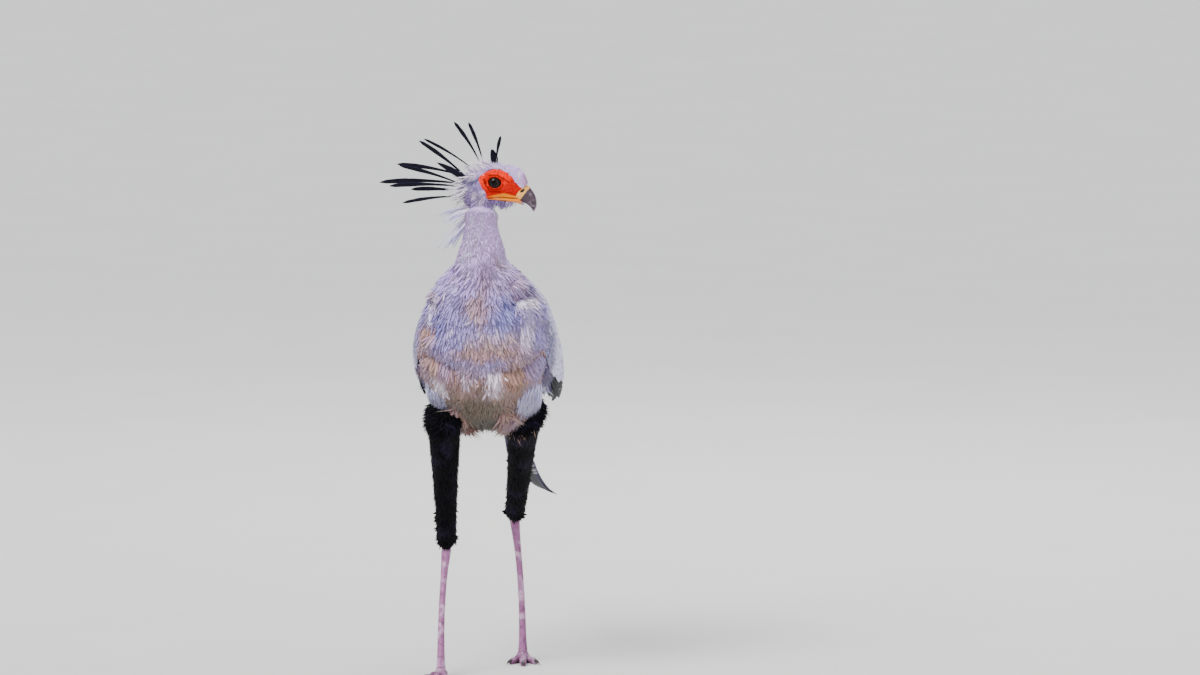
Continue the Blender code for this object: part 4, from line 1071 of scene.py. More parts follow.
def growTufts(name, form, rng, root, normal, place, lie, look, rootTint, tipTint):
    # feathers along the lie of the coat; each is a patch of the bake map at its root
    a, c, e, w, faces = form
    count = len(root)

    def spread(key):
        return np.broadcast_to(np.asarray(look.get(key, 0.0), float), (count,))[:, None]

    tangent = unit(lie - normal * (lie * normal).sum(axis=1, keepdims=True))
    side = np.cross(normal, tangent)
    swirl = spread("swirl") * rng.normal(size=(count, 1)) + spread("comb")
    tangent = tangent * np.cos(swirl) + side * np.sin(swirl)
    side = np.cross(normal, tangent)
    size = spread("length") * rng.uniform(0.72, 1.22, (count, 1))
    half = 0.5 * spread("width") * rng.uniform(0.75, 1.25, (count, 1))
    rise = spread("lift") * rng.uniform(0.7, 1.3, (count, 1)) * size
    bend = spread("bend") * rng.normal(size=(count, 1)) * size
    sink = spread("sink")
    height = -sink + (sink + rise) * (1 - (1 - a) ** 1.7) + e * w * half * 0.30
    slide = size * a * (1 - 0.10 * a)
    sway = half * c * w + bend * a ** 2
    droop = spread("droop") * size * a ** 2
    points = (root[:, None] + tangent[:, None] * slide[..., None] + normal[:, None] * height[..., None]
              + side[:, None] * sway[..., None] - np.array((0, 0, 1)) * droop[..., None])
    light = rng.normal(1.0, look.get("mottle", 0.10), (count, 1, 1)).clip(0.6, 1.45)
    tint = (rootTint[:, None] + (tipTint - rootTint)[:, None] * (a[None, :, None] ** 0.8)) * light
    patch = 0.0014
    spot = np.stack((c * np.maximum(w, 0.2) * patch, (a - 0.5) * 2 * patch + e * 0.0003), axis=1)
    maps = {"OFBake": (place[:, None] + spot[None]).reshape(-1, 2)}
    allFaces = (faces[None] + (np.arange(count) * len(a))[:, None, None]).reshape(-1, 3)
    return denseMesh(name, points.reshape(-1, 3), allFaces, maps, tint.reshape(-1, 3))


vaneColumns = np.array((-1.0, -0.55, -0.07, 0.0, 0.07, 0.55, 1.0))
underColumns = np.array((0.55, 0.0, -0.55))


def vaneFaces(stations):
    # closed feather: seven columns above and three below at each station, capped at both ends
    around = len(vaneColumns) + len(underColumns)
    faces = []
    for level in range(stations - 1):
        low, high = level * around, (level + 1) * around
        for i in range(around):
            j = (i + 1) % around
            faces += [(low + i, low + j, high + j), (low + i, high + j, high + i)]
    top = (stations - 1) * around
    for i in range(1, around - 1):
        faces.append((0, i + 1, i))
        faces.append((top, top + i, top + i + 1))
    return np.array(faces)


def growVanes(name, surface, stations, thick, tone, length, count):
    # surface(across, raised) gives the points of all feathers, with one column for each value across
    upper = surface(vaneColumns, thick * (1 - 0.75 * vaneColumns ** 2) + 0.00025 * (vaneColumns == 0))
    lower = surface(underColumns, -thick * (1 - 0.75 * underColumns ** 2))
    points = np.concatenate((upper, lower), axis=2)
    across = np.concatenate((vaneColumns, underColumns))
    share = stations[:, None] + 0 * across
    tint = tone(across[None, None], stations[None, :, None])
    tint = np.broadcast_to(tint, points.shape)
    grid = math.ceil(math.sqrt(count))
    cellU = (np.arange(count) % grid)[:, None, None] / grid
    cellV = (np.arange(count) // grid)[:, None, None] / grid
    below = np.arange(len(across)) >= len(vaneColumns)
    u = cellU + (0.25 + 0.21 * across + 0.49 * below) / grid + 0 * share
    v = cellV + (0.04 + 0.92 * share) / grid + 0 * u
    barbU = across[None, None] * 0.008 + 0 * v
    barbV = share[None] * length + 0 * v
    faces = vaneFaces(len(stations))
    each = len(stations) * len(across)
    allFaces = (faces[None] + (np.arange(count) * each)[:, None, None]).reshape(-1, 3)
    maps = {
        "OFBake": np.stack((u, v), axis=-1).reshape(-1, 2),
        "vane": np.stack((barbU, barbV), axis=-1).reshape(-1, 2),
    }
    return denseMesh(name, points.reshape(-1, 3), allFaces, maps, tint.reshape(-1, 3))


def roundTip(stations, start, tip=0.16, square=0.5):
    # width of a feather along its length, full in the middle and round at the tip
    rise = np.minimum(1, start + (1 - start) * stations / 0.35)
    fall = np.clip((stations - 0.72) / 0.28, 0, 1)
    return rise * np.maximum(tip, (1 - fall ** 2) ** square)


def joined(name, items):
    clearSelection()
    for item in items:
        item.select_set(True)
    bpy.context.view_layer.objects.active = items[0]
    bpy.ops.object.join()
    items[0].name = name
    items[0].data.name = name
    return items[0]


def spreadPlaces(pieces):
    # gives each feather its own cell of the bake map
    grid = math.ceil(math.sqrt(len(pieces)))
    for number, piece in enumerate(pieces):
        layer = piece.data.uv_layers["OFBake"].data
        places = np.zeros(len(layer) * 2, np.float32)
        layer.foreach_get("uv", places)
        cell = np.array((number % grid, number // grid))
        layer.foreach_set("uv", ((places.reshape(-1, 2) + cell) / grid).astype(np.float32).ravel())


wingTiers = {
    # rows, feathers, places down the wing, root and tip places at top and bottom, step between
    # rows, height, drop to the root, stations
    "marginal": (5, 17, 0.03, 0.93, -0.010, -0.015, 0.060, 0.052, 0.020, 0.0004, 0.0045, 7),
    "lesser": (4, 14, 0.03, 0.90, 0.080, 0.070, 0.180, 0.160, 0.030, 0.0002, 0.0055, 8),
    "median": (2, 12, 0.04, 0.86, 0.190, 0.170, 0.335, 0.290, 0.040, -0.0005, 0.0070, 10),
    "greater": (1, 12, 0.05, 0.80, 0.270, 0.235, 0.530, 0.430, 0.0, -0.0028, 0.0085, 16),
    "secondary": (1, 14, 0.06, 0.96, 0.360, 0.210, 0.820, 0.620, 0.0, -0.0068, 0.0100, 22),
    "edging": (2, 5, 0.82, 0.97, 0.100, 0.090, 0.360, 0.330, 0.090, -0.0040, 0.0070, 14),
    "primary": (1, 9, 0.40, 0.95, 0.500, 0.450, 1.000, 0.860, 0.0, -0.0100, 0.0080, 22),
    "tertial": (1, 5, -0.01, 0.16, 0.230, 0.280, 0.640, 0.600, 0.0, 0.0006, 0.0060, 16),
}
darkTiers = ("secondary", "edging", "primary")
wingVanes = {"thick": 0.00045, "tilt": 0.0013, "overlap": 0.98, "length": 0.56}


def wingTone(tier, rng, centre, root):
    dark = tier in darkTiers
    count = len(centre)
    # low marks the lower front of the folded wing, where the coverts turn dark blue as painted shade
    low = smooth(centre + 0.08 * rng.normal(size=centre.shape), 0.46, 0.66) * smooth(root, 0.17, 0.08)
    base = paint["flight"] if dark else mix(paint["covert"], paint["shadeBlue"], 0.8 * low)
    middle = paint["flight"] * 0.8 if dark else mix(paint["covertDark"], paint["shadeBlue"] * 0.6, low)
    rim = paint["flightEdge"] if dark else mix(paint["covertEdge"], paint["covertDark"], 0.6 * low)
    light = rng.normal(1, 0.05 if dark else 0.09, (count, 1, 1, 1)).clip(0.7, 1.3)
    cool = rng.uniform(0, 1, (count, 1, 1))

    def tone(across, share):
        heart = bell(across, 0.5) * smooth(share, 0.95, 0.45) * (0.35 + 0.55 * cool)
        tint = mix(base, middle, heart)
        edge = np.maximum(smooth(np.abs(across), 0.72, 1.0), smooth(share, 0.86, 1.0))
        tint = mix(tint, rim, edge * (0.45 if dark else 0.85))
        shaft = (np.abs(across) < 0.03) * 0.5 + 0 * share
        return mix(tint, middle * 0.5, shaft) * light

    return tone


def makeWing(word, side, material, darkMaterial):
    # tiers of feathers that overlap like tiles, pale coverts over black flight feathers
    rng = np.random.default_rng(71 + side)
    pale, dark = [], []
    for tier, values in wingTiers.items():
        rows, count, first, last, rootTop, rootLow, tipTop, tipLow, stepBack, level, drop, stops = values
        for row in range(rows):
            share = (np.arange(count) + 0.5 * (row % 2)) / (count - 0.5 * (row % 2 == 0))
            share = np.clip(share + rng.normal(0, 0.10 / count, count), 0, 1)
            gap = (last - first) / (count - 1)
            centre = (first + (last - first) * share)[:, None, None]
            root = (rootTop + (rootLow - rootTop) * share + stepBack * row)[:, None, None]
            tip = (tipTop + (tipLow - tipTop) * share + stepBack * row)[:, None, None]
            tip = tip + rng.normal(0, 0.03, (count, 1, 1)) * (tip - root)
            stations = 1 - (1 - np.linspace(0, 1, stops)) ** 1.5
            t = stations[None, :, None]
            half = gap * wingVanes["overlap"] * roundTip(stations, 0.6)[None, :, None]
            notch = 1 - 0.16 * (rng.random((count, stops, 1)) < 0.10) * (t > 0.3)
            lift = level + rng.normal(0, 0.00025, (count, 1, 1)) - drop * (1 - t) ** 1.25
            drift = (0.02 + rng.normal(0, 0.006, (count, 1, 1))) * t

            def surface(across, raised):
                s = root + (tip - root) * t + 0 * across
                v = centre + drift + half * notch * across
                h = lift + wingVanes["tilt"] * roundTip(stations, 0.6)[None, :, None] * across + raised
                return wingSheet(side, s, v, h + 0.0006 * (1 - across ** 2))

            length = wingVanes["length"] * (tipTop - rootTop)
            made = growVanes("tier", surface, stations, wingVanes["thick"],
                             wingTone(tier, rng, centre, root), length, count)
            (dark if tier in darkTiers else pale).append(made)
    spreadPlaces(pale)
    spreadPlaces(dark)
    nodes = ["wing_" + word]
    finishPiece(joined("wingCoverts_" + word, pale), material, nodes)
    finishPiece(joined("flightFeathers_" + word, dark), darkMaterial, nodes)


def tailTone(streamer):
    # grey with a black band, and a pale tip on all but the two long feathers
    bandFrom, bandTo = (0.30, 0.38) if streamer else (0.50, 0.56)
    tip = 0.0 if streamer else 1.0

    def tone(across, share):
        tint = mix(paint["tailGrey"], paint["covertEdge"], 0.35 * smooth(np.abs(across), 0.6, 1.0))
        band = smooth(share, bandFrom, bandTo) + 0 * across
        tint = mix(tint, paint["tailBlack"], 0.97 * band)
        tint = mix(tint, paint["tailTip"], tip * smooth(share, 0.975, 0.99) + 0 * across)
        tint = mix(tint, paint["covertDark"], 0.55 * smooth(np.abs(across), 0.82, 1.0) + 0 * share)
        shaft = (np.abs(across) < 0.03) * 0.6 + 0 * share
        return mix(tint, paint["tailBlack"], shaft)

    return tone


def makeTail(material):
    # twelve feathers, the middle pair long
    pieces = []
    rng = np.random.default_rng(91)
    for number, (end, tipSide, width) in enumerate(tailShape["pairs"]):
        for side in (1, -1):
            level = -tailShape["step"] * (2 * number + (0 if side > 0 else 1))
            stops = 40 if number == 0 else 22
            stations = 1 - (1 - np.linspace(0, 1, stops)) ** 1.3
            place = tailShape["start"] + (end - tailShape["start"]) * stations
            here, lift, across = tailFrame(place)
            shape = np.minimum(1, 0.55 + 1.8 * stations)
            shape = shape * (1 - tailShape["narrow"] * smooth(stations, 0.45, 0.80))
            shape = shape * np.maximum(0.30, 1 - np.clip((stations - 0.985) / 0.015, 0, 1) ** 2) ** 0.5
            notch = 1 - 0.12 * (rng.random(stops) < 0.10)
            middle = here + across * (side * tipSide * stations)[:, None] + lift * level
            half = width * 0.5 * shape * notch

            def surface(columns, raised):
                sideways = across[None, :, None] * (half[:, None] * columns)[None, :, :, None]
                upward = lift[None, :, None] * (raised + 0.0012 * (1 - columns ** 2))[None, None, :, None]
                return middle[None, :, None] + sideways + upward

            pieces.append(growVanes("tailVane", surface, stations, tailShape["thick"], tailTone(number == 0),
                                    tailShape["stepLength"] * (end - tailShape["start"]), 1))
    spreadPlaces(pieces)
    finishPiece(joined("tailFeathers", pieces), material, ["tail"])


crestShape = {
    # root forward, root up, tip forward, tip up, sideways at root and tip, width
    "rows": [
        (-0.0040, 0.0340, -0.0020, 0.0965, -0.006, -0.010, 0.0086),
        (-0.0045, 0.0320, -0.0170, 0.0670, -0.008, -0.012, 0.0165),
        (-0.0300, 0.0265, -0.0765, 0.1120, 0.008, 0.018, 0.0086),
        (-0.0300, 0.0240, -0.1015, 0.1125, -0.010, -0.022, 0.0086),
        (-0.0340, 0.0105, -0.1590, 0.0685, -0.012, -0.026, 0.0066),
        (-0.0420, -0.0180, -0.1750, 0.0575, 0.010, 0.028, 0.0094),
        (-0.0400, -0.0155, -0.1255, 0.0230, -0.016, -0.022, 0.0135),
        (-0.0450, -0.0040, -0.2150, 0.0015, 0.012, 0.034, 0.0094),
        (-0.0450, -0.0230, -0.2025, 0.0045, -0.010, -0.018, 0.0086),
        (-0.0450, -0.0165, -0.2440, -0.0405, 0.009, 0.022, 0.0106),
        (-0.0440, -0.0200, -0.2165, -0.0395, -0.012, -0.030, 0.0094),
        (-0.0480, -0.0330, -0.1780, -0.0460, 0.012, 0.030, 0.0094),
        (-0.0480, -0.0380, -0.1860, -0.0720, -0.008, -0.014, 0.0076),
    ],
    "sag": 0.035,
    "stations": 30,
    "leafFrom": 0.0120,
}
plumeShape = {
    # height of the root, sideways turn of the root, length, drop of the tip
    "rows": [
        (0.992, 0.20, 0.056, 0.018),
        (0.984, -0.25, 0.046, 0.020),
        (0.982, 0.70, 0.050, 0.030),
        (0.977, 0.10, 0.062, 0.062),
        (0.968, 0.50, 0.050, 0.052),
        (0.963, -0.20, 0.040, 0.042),
    ],
    "width": 0.005,
}


def freeVane(root, tip, bow, upright, widths, stations, thick, tone, notch):
    # one feather on its own bowed path
    t = stations[:, None]
    path = root + (tip - root) * t + bow * (4 * t * (1 - t))
    ahead = unit(np.gradient(path, axis=0))
    across = unit(upright - ahead * (ahead @ upright)[:, None])
    lift = np.cross(ahead, across)
    half = widths * notch * 0.5

    def surface(columns, raised):
        sideways = across[None, :, None] * (half[:, None] * columns)[None, :, :, None]
        upward = lift[None, :, None] * (raised + 0.10 * half[:, None] * (1 - columns ** 2))[None, :, :, None]
        return path[None, :, None] + sideways + upward

    return growVanes("freeVane", surface, stations, thick, tone, float(np.linalg.norm(tip - root)), 1)


def makeCrest(material, paleMaterial):
    rng = np.random.default_rng(51)
    stations = np.linspace(0, 1, crestShape["stations"])
    upright = crownAxis * 0.9 - noseAxis * 0.1

    def tone(across, share):
        tint = mix(paint["crest"], paint["crestEdge"], 0.7 * smooth(np.abs(across), 0.5, 1.0))
        tint = mix(paint["neckPale"], tint, smooth(share, 0.06, 0.30) + 0 * across)
        return mix(tint, paint["crest"] * 0.6, (np.abs(across) < 0.03) * 0.7 + 0 * share)

    feathers = []
    for rootF, rootU, tipF, tipU, sideRoot, sideTip, width in crestShape["rows"]:
        root = onHead(rootF, sideRoot, rootU)
        tip = onHead(tipF, sideTip, tipU)
        ahead = unit(tip - root)
        across = unit(upright - ahead * (ahead @ upright))
        bow = across * np.linalg.norm(tip - root) * crestShape["sag"]
        if width > crestShape["leafFrom"]:
            blade = np.interp(stations, (0, 0.15, 0.4, 0.65, 0.88, 1.0), (0.45, 0.75, 1.0, 0.95, 0.55, 0.08))
        else:
            blade = np.interp(stations, (0, 0.25, 0.5, 0.74, 0.93, 1.0), (0.30, 0.36, 0.60, 1.0, 0.80, 0.14))
        notch = 1 - 0.07 * (rng.random(len(stations)) < 0.12) * (stations > 0.3)
        feathers.append(freeVane(root, tip, bow, across, width * blade, stations, 0.0004, tone, notch))
    spreadPlaces(feathers)
    finishPiece(joined("crest", feathers), material, ["head"])

    def paleTone(across, share):
        return mix(paint["neckPale"], paint["fluff"], smooth(share, 0, 1) + 0 * across)

    plumes = []
    for height, turn, length, drop in plumeShape["rows"]:
        place = 3.0 + (height - 0.960) / 0.036
        ring = bodyPoint(bodyShape["neck"], place, ringAngles(20), 0.0)
        out = np.array((-math.cos(turn), math.sin(turn), 0.0))
        root = ring.mean(axis=0) + out * 0.022
        for share in np.linspace(-1, 1, 9):
            shift = np.array((0.0, share * 0.006, rng.normal(0, 0.004)))
            reach = out * (length + 0.016) * rng.uniform(0.65, 1.05)
            tip = root + reach - np.array((0, 0, drop * 1.15)) + shift
            across = unit(np.cross(out, (0, 0, 1)) + np.array((0, 0, 0.8)))
            blade = np.interp(stations, (0, 0.3, 0.7, 1.0), (0.8, 1.0, 0.7, 0.05)) * plumeShape["width"]
            notch = 1 - 0.3 * (rng.random(len(stations)) < 0.2)
            bow = np.array((0, 0, 0.004))
            start = root + shift * 0.5
            plumes.append(freeVane(start, tip, bow, across, blade, stations, 0.0003, paleTone, notch))
    spreadPlaces(plumes)
    finishPiece(joined("neckPlumes", plumes), paleMaterial, ["neck_upper"])


coatBands = {
    # seed, feathers, form, width, lift, unevenness of direction, darkness at root, lightness at tip
    "head": (101, 15500, wispForm, 0.0019, 0.24, 0.20, 0.80, 1.12),
    "neck": (103, 17500, wispForm, 0.0030, 0.13, 0.10, 0.86, 1.08),
    "breast": (105, 19500, wispForm, 0.0042, 0.12, 0.13, 0.80, 1.08),
    "breastTop": (106, 6000, leafForm, 0.0062, 0.17, 0.16, 0.88, 1.12),
    "belly": (107, 19000, wispForm, 0.0046, 0.20, 0.20, 0.78, 1.08),
    "shoulder": (108, 3600, leafForm, 0.0095, 0.10, 0.10, 0.78, 1.14),
    "back": (109, 5200, leafForm, 0.0150, 0.11, 0.10, 0.72, 1.25),
    "tailCover": (111, 1600, leafForm, 0.0130, 0.10, 0.12, 0.80, 1.10),
    "chin": (112, 700, wispForm, 0.0014, 0.70, 0.30, 0.90, 1.15),
    "crestRoots": (113, 150, wispForm, 0.0020, 0.55, 0.25, 1.00, 1.20),
    "flank": (121, 4000, wispForm, 0.0062, 0.32, 0.14, 0.90, 1.10),
    "fringe": (125, 2200, wispForm, 0.0052, 0.42, 0.22, 0.80, 1.20),
    "trousers": (131, 12500, wispForm, 0.0046, 0.27, 0.20, 0.60, 1.70),
    "hem": (135, 500, leafForm, 0.0056, 0.02, 0.10, 0.70, 1.40),
    "throat": (151, 1700, wispForm, 0.0026, 0.30, 0.22, 0.90, 1.12),
    "wingFront": (141, 3000, wispForm, 0.0044, 0.30, 0.18, 0.84, 1.12),
}


def dressBody(spots, materials):
    # all the loose feathers of head, neck, body and legs
    regions = spots["regions"]
    middle = spots["middle"]
    normals = spots["normals"].mean(axis=1)
    forward, left, up = inHead(middle)
    x, y, z = middle.T
    head = regions["head"]
    body = regions["body"]
    backward = smooth(y - 0.35 * (0.86 - z), -0.075, -0.02) * smooth(z, 0.62, 0.68)
    down = (0.0, 0.50, -0.86)

    def at(given, root):
        return given(root) if callable(given) else np.asarray(given)

    def lay(band, name, weight, lie, length, tint, replaced, slot="body_feather", material="coat",
            seed=0, **more):
        # lie, length and tint are one value for all feathers or a function of their roots
        firstSeed, count, form, width, lift, swirl, dark, light = coatBands[band]
        rng = np.random.default_rng(firstSeed + seed)
        root, normal, place = scatter(spots, count, weight, rng)
        lengths = np.broadcast_to(at(length, root), count)
        look = {"length": lengths, "width": width, "lift": lift, "swirl": swirl, "sink": 0.0015,
                "bend": 0.12, "mottle": 0.07, "comb": (blotches(root, 0.030, 61) - 0.5) * 4 * swirl}
        look.update(more)
        seen = root
        if slot == "body_feather":
            # a body feather shows its tip, so it takes the colour of the place where that lies
            seen = root - 0.5 * lengths[:, None] * np.array((0.0, 0.0, 1.0))
        base = at(tint, seen) + 0 * root
        item = growTufts(name, form, rng, root, normal, place, at(lie, root) + 0 * root, look,
                         base * dark, np.minimum(base * light, 0.95))
        finishPiece(item, materials[material], replaced)

    def layOnHead(band, name, weight, lie, length, tint, **more):
        lay(band, name, weight, lie, length, tint, ["head"], slot="head_feather", **more)

    def headLie(root):
        f, _, u = inHead(root)
        back = smooth(f, 0.0, -0.06)
        lie = -noseAxis - crownAxis * (0.25 + 0.6 * back)[:, None]
        chin = smooth(u, -0.024, -0.036)[:, None]
        return lie * (1 - chin) + chin * np.array((-0.35, 0.0, -0.9))

    def headLength(root):
        f, _, u = inHead(root)
        size = 0.0045 + 0.0060 * smooth(f, 0.045, -0.01) + 0.009 * smooth(f, -0.02, -0.055)
        return size + 0.005 * smooth(u, -0.026, -0.040)

    feathered = head & (bareShare(middle) < 0.25)
    layOnHead("head", "headFeathers", feathered * (1 + 1.2 * smooth(forward, -0.01, 0.04)), headLie,
              headLength, headTint, sink=0.0008)
    chin = head * smooth(up, -0.028, -0.033) * smooth(forward, -0.02, -0.01)
    chin = chin * smooth(forward, 0.046, 0.040) * (np.abs(left) < 0.016)
    layOnHead("chin", "chinWisps", chin, -crownAxis - 0.25 * noseAxis, 0.015, headTint)
    nape = head * smooth(up, 0.0, 0.014) * smooth(forward, 0.002, -0.008) * (np.abs(left) < 0.024)
    layOnHead("crestRoots", "crestRootWisps", nape, crownAxis * 0.75 - noseAxis, 0.026, paint["neckPale"])
    behind = (head * smooth(forward, -0.040, -0.055) * smooth(up, 0.02, 0.0)
              + body * smooth(z, 0.955, 0.99) * smooth(y, -0.15, -0.12) * smooth(x, 0.02, -0.01))
    layOnHead("crestRoots", "napeWisps", behind, -crownAxis * 0.55 - noseAxis, 0.040, paint["neckPale"],
              seed=1)
    jaw = head * smooth(up, -0.026, -0.034) * smooth(forward, -0.060, -0.045)
    jaw = jaw * smooth(forward, 0.034, 0.022) * (1 - bareShare(middle))
    layOnHead("throat", "throatFeathers", jaw, (-0.1, 0.0, -1.0), 0.024, headTint)

    def neckLie(root):
        flare = smooth(root[:, 2], 0.90, 0.84)[:, None]
        return np.array((0.0, 0.10, -1.0)) + flare * np.array((0.0, 0.30, 0.1))

    def neckLength(root):
        return 0.018 + 0.020 * smooth(root[:, 2], 1.00, 0.84)

    lay("neck", "neckFeathers", body * smooth(z, 0.835, 0.885), neckLie, neckLength, bodyTint,
        ["neck_upper", "neck_lower"])

    def breastLength(root):
        return 0.032 + 0.014 * smooth(root[:, 2], 0.84, 0.68)

    shoulder = smooth(np.abs(x - 0.004), 0.058, 0.080) * smooth(z, 0.735, 0.765)
    breast = body * smooth(z, 0.60, 0.63) * smooth(z, 0.895, 0.850) * (1 - 0.92 * backward)
    lay("breast", "breastFeathers", breast * (1 - 0.35 * shoulder), down, breastLength, bodyTint,
        ["torso", "neck_lower"], droop=0.03)
    lay("breastTop", "breastFeathers_outer", breast * (1 - 0.8 * shoulder), down, 0.040, bodyTint,
        ["torso"], droop=0.03)

    def shoulderLie(root):
        still = 0 * root[:, 0]
        return np.stack((0.45 * np.sign(root[:, 0]), 0.45 + still, -0.8 + still), axis=1)

    def shoulderTint(root):
        shaded = smooth(blotches(root, 0.010, 51), 0.55, 0.85)
        scale = mix(paint["shoulder"], paint["neckDark"], 0.55 * shaded)
        return mix(bodyTint(root), scale, 0.8)

    lay("shoulder", "shoulderFeathers", body * shoulder * (1 - backward) * smooth(z, 0.89, 0.87),
        shoulderLie, 0.022, shoulderTint, ["torso"], mottle=0.12)

    def bellyLength(root):
        height = root[:, 2]
        return 0.038 + 0.014 * smooth(height, 0.62, 0.57) * smooth(height, 0.530, 0.550)

    def coverTint(root):
        return mix(paint["rump"], paint["fluff"], blotches(root, 0.01, 9))

    under = smooth(normals[:, 2], -0.55, -0.90)
    belly = body * smooth(z, 0.655, 0.625) * smooth(y, 0.27, 0.22)
    lay("belly", "bellyFeathers", belly * (1 - 0.5 * under), down, bellyLength, bodyTint, ["torso"],
        droop=0.06)
    lay("back", "backFeathers", body * np.maximum(backward, smooth(y, 0.15, 0.2)) * (z > 0.60), down,
        0.036, bodyTint, ["torso"])
    lay("tailCover", "tailCoverts", regions["tail"] * 1.0, (0.0, 0.62, -0.78), 0.045, coverTint,
        ["tail"], slot="tail_feather")

    def flankTint(root):
        return mix(bodyTint(root), paint["fluff"], 0.75)

    def legTint(root):
        # black, with bluish painted sheen in soft patches
        lit = smooth(blotches(root, 0.018, 12), 0.5, 0.95)
        return mix(paint["black"], paint["blackSheen"], 0.8 * lit)

    def wingFrontTint(root):
        # painted shade on the low part of the fluff in front of the wing
        return mix(bodyTint(root), paint["shadeBlue"], 0.75 * smooth(root[:, 2], 0.715, 0.690))

    for word, leg in legShape.items():
        side = leg["mirror"]
        legLie = unit(leg["ankle"] - leg["knee"]) + np.array((0, 0.05, 0))
        onThisSide = side * (x - 0.004)
        flank = body * smooth(onThisSide, 0.075, 0.090) * smooth(z, 0.645, 0.620) * smooth(y, 0.06, 0.02)
        lay("flank", "flankFluff_" + word, flank * smooth(y, -0.16, -0.12), (0.30 * side, -0.05, -0.90),
            0.048, flankTint, ["torso"], seed=side, bend=0.16)
        fringe = body * smooth(onThisSide, 0.030, 0.045) * smooth(onThisSide, 0.092, 0.080)
        fringe = fringe * smooth(z, 0.585, 0.570) * smooth(y, -0.01, -0.04)
        lay("fringe", "bellyFringe_" + word, fringe, (0.30 * side, -0.20, -0.90), 0.052, bodyTint,
            ["torso"], seed=side, bend=0.20)
        thigh = regions["thigh_" + word]
        black = {"slot": "black_feather", "material": "dark", "seed": side, "mottle": 0.20}
        lay("trousers", "trousers_" + word, thigh * 1.0, legLie, 0.027, legTint, ["thigh_" + word], **black)
        ankleZ = leg["ankle"][2]
        lay("hem", "trouserHem_" + word, thigh * smooth(z, ankleZ + 0.040, ankleZ + 0.025), legLie, 0.032,
            legTint, ["thigh_" + word], **black)
        front = regions["wing_" + word] * smooth(y, -0.062, -0.085) * smooth(z, 0.725, 0.700)
        lay("wingFront", "wingFluff_" + word, front, down, 0.032, wingFrontTint, ["wing_" + word],
            seed=side)
    print("loose feathers grown")


skinAndFace = skinMaterial()
materials = {
    "coat": coatMaterial("softFeather", 0.85, 0.25),
    "dark": coatMaterial("trouserFeather", 0.75, 0.0, 0.10),
    "covert": vaneMaterial("covertVane", 0.62, 0.15),
    "flight": vaneMaterial("flightVane", 0.55, 0.0, 0.15),
    "tail": vaneMaterial("tailVane", 0.60, 0.0, 0.15),
    "crest": vaneMaterial("crestVane", 0.60, 0.0, 0.12),
    "scute": scuteMaterial(),
    "claw": hornMaterial("clawHorn", 0.35, 0.25),
    "bill": hornMaterial("billHorn", 0.36, 0.25),
}

skin, regions = makeSkin()
spots = skinSpots(skin, regions)
skinPoints = pointsOf(skin)
skinTint = bodyTint(skinPoints) * 0.80
skinTint[regions["head"]] = headTint(skinPoints[regions["head"]]) * 0.85
bare = bareShare(skinPoints) * regions["head"]
skinTint = mix(skinTint, faceTint(skinPoints), bare)
for word in legShape:
    skinTint[regions["thigh_" + word]] = paint["black"] * 0.8
    skinTint[regions["wing_" + word]] = paint["covertDark"]
skinTint[regions["tail"]] = paint["rump"] * 0.7
setTint(skin.data, skinTint)
dressBody(spots, materials)
finishPiece(skin, skinAndFace,
            ["torso", "neck_lower", "neck_upper", "head", "thigh_left", "thigh_right"])
for word, leg in legShape.items():
    makeWing(word, leg["mirror"], materials["covert"], materials["flight"])
print("wings done")
makeTail(materials["tail"])
makeCrest(materials["crest"], materials["covert"])
print("tail and crest done")


def makeEyes():
    # dark balls behind the lids
    for side, word in ((1, "left"), (-1, "right")):
        centre = onHead(0.0, side * headShape["eyeOut"], 0.0)
        clearSelection()
        bpy.ops.mesh.primitive_uv_sphere_add(segments=64, ring_count=40, radius=headShape["eyeRadius"],
                                             location=tuple(centre), rotation=(math.radians(90), 0, 0))
        ball = bpy.context.object
        ball.name = "eyeball_" + word
        bpy.ops.object.transform_apply(location=True, rotation=True, scale=True)
        ball.data.shade_smooth()
        finishPiece(ball, eyeMaterial("eye_" + word, side), ["eye_" + word])


lidShape = {
    "stops": 72,
    "around": 10,
    "thick": 0.0008,
    "lashes": 15,
    "lashLength": 0.0095,
    "lashThick": 0.00034,
    "lashOut": 0.0262,
}


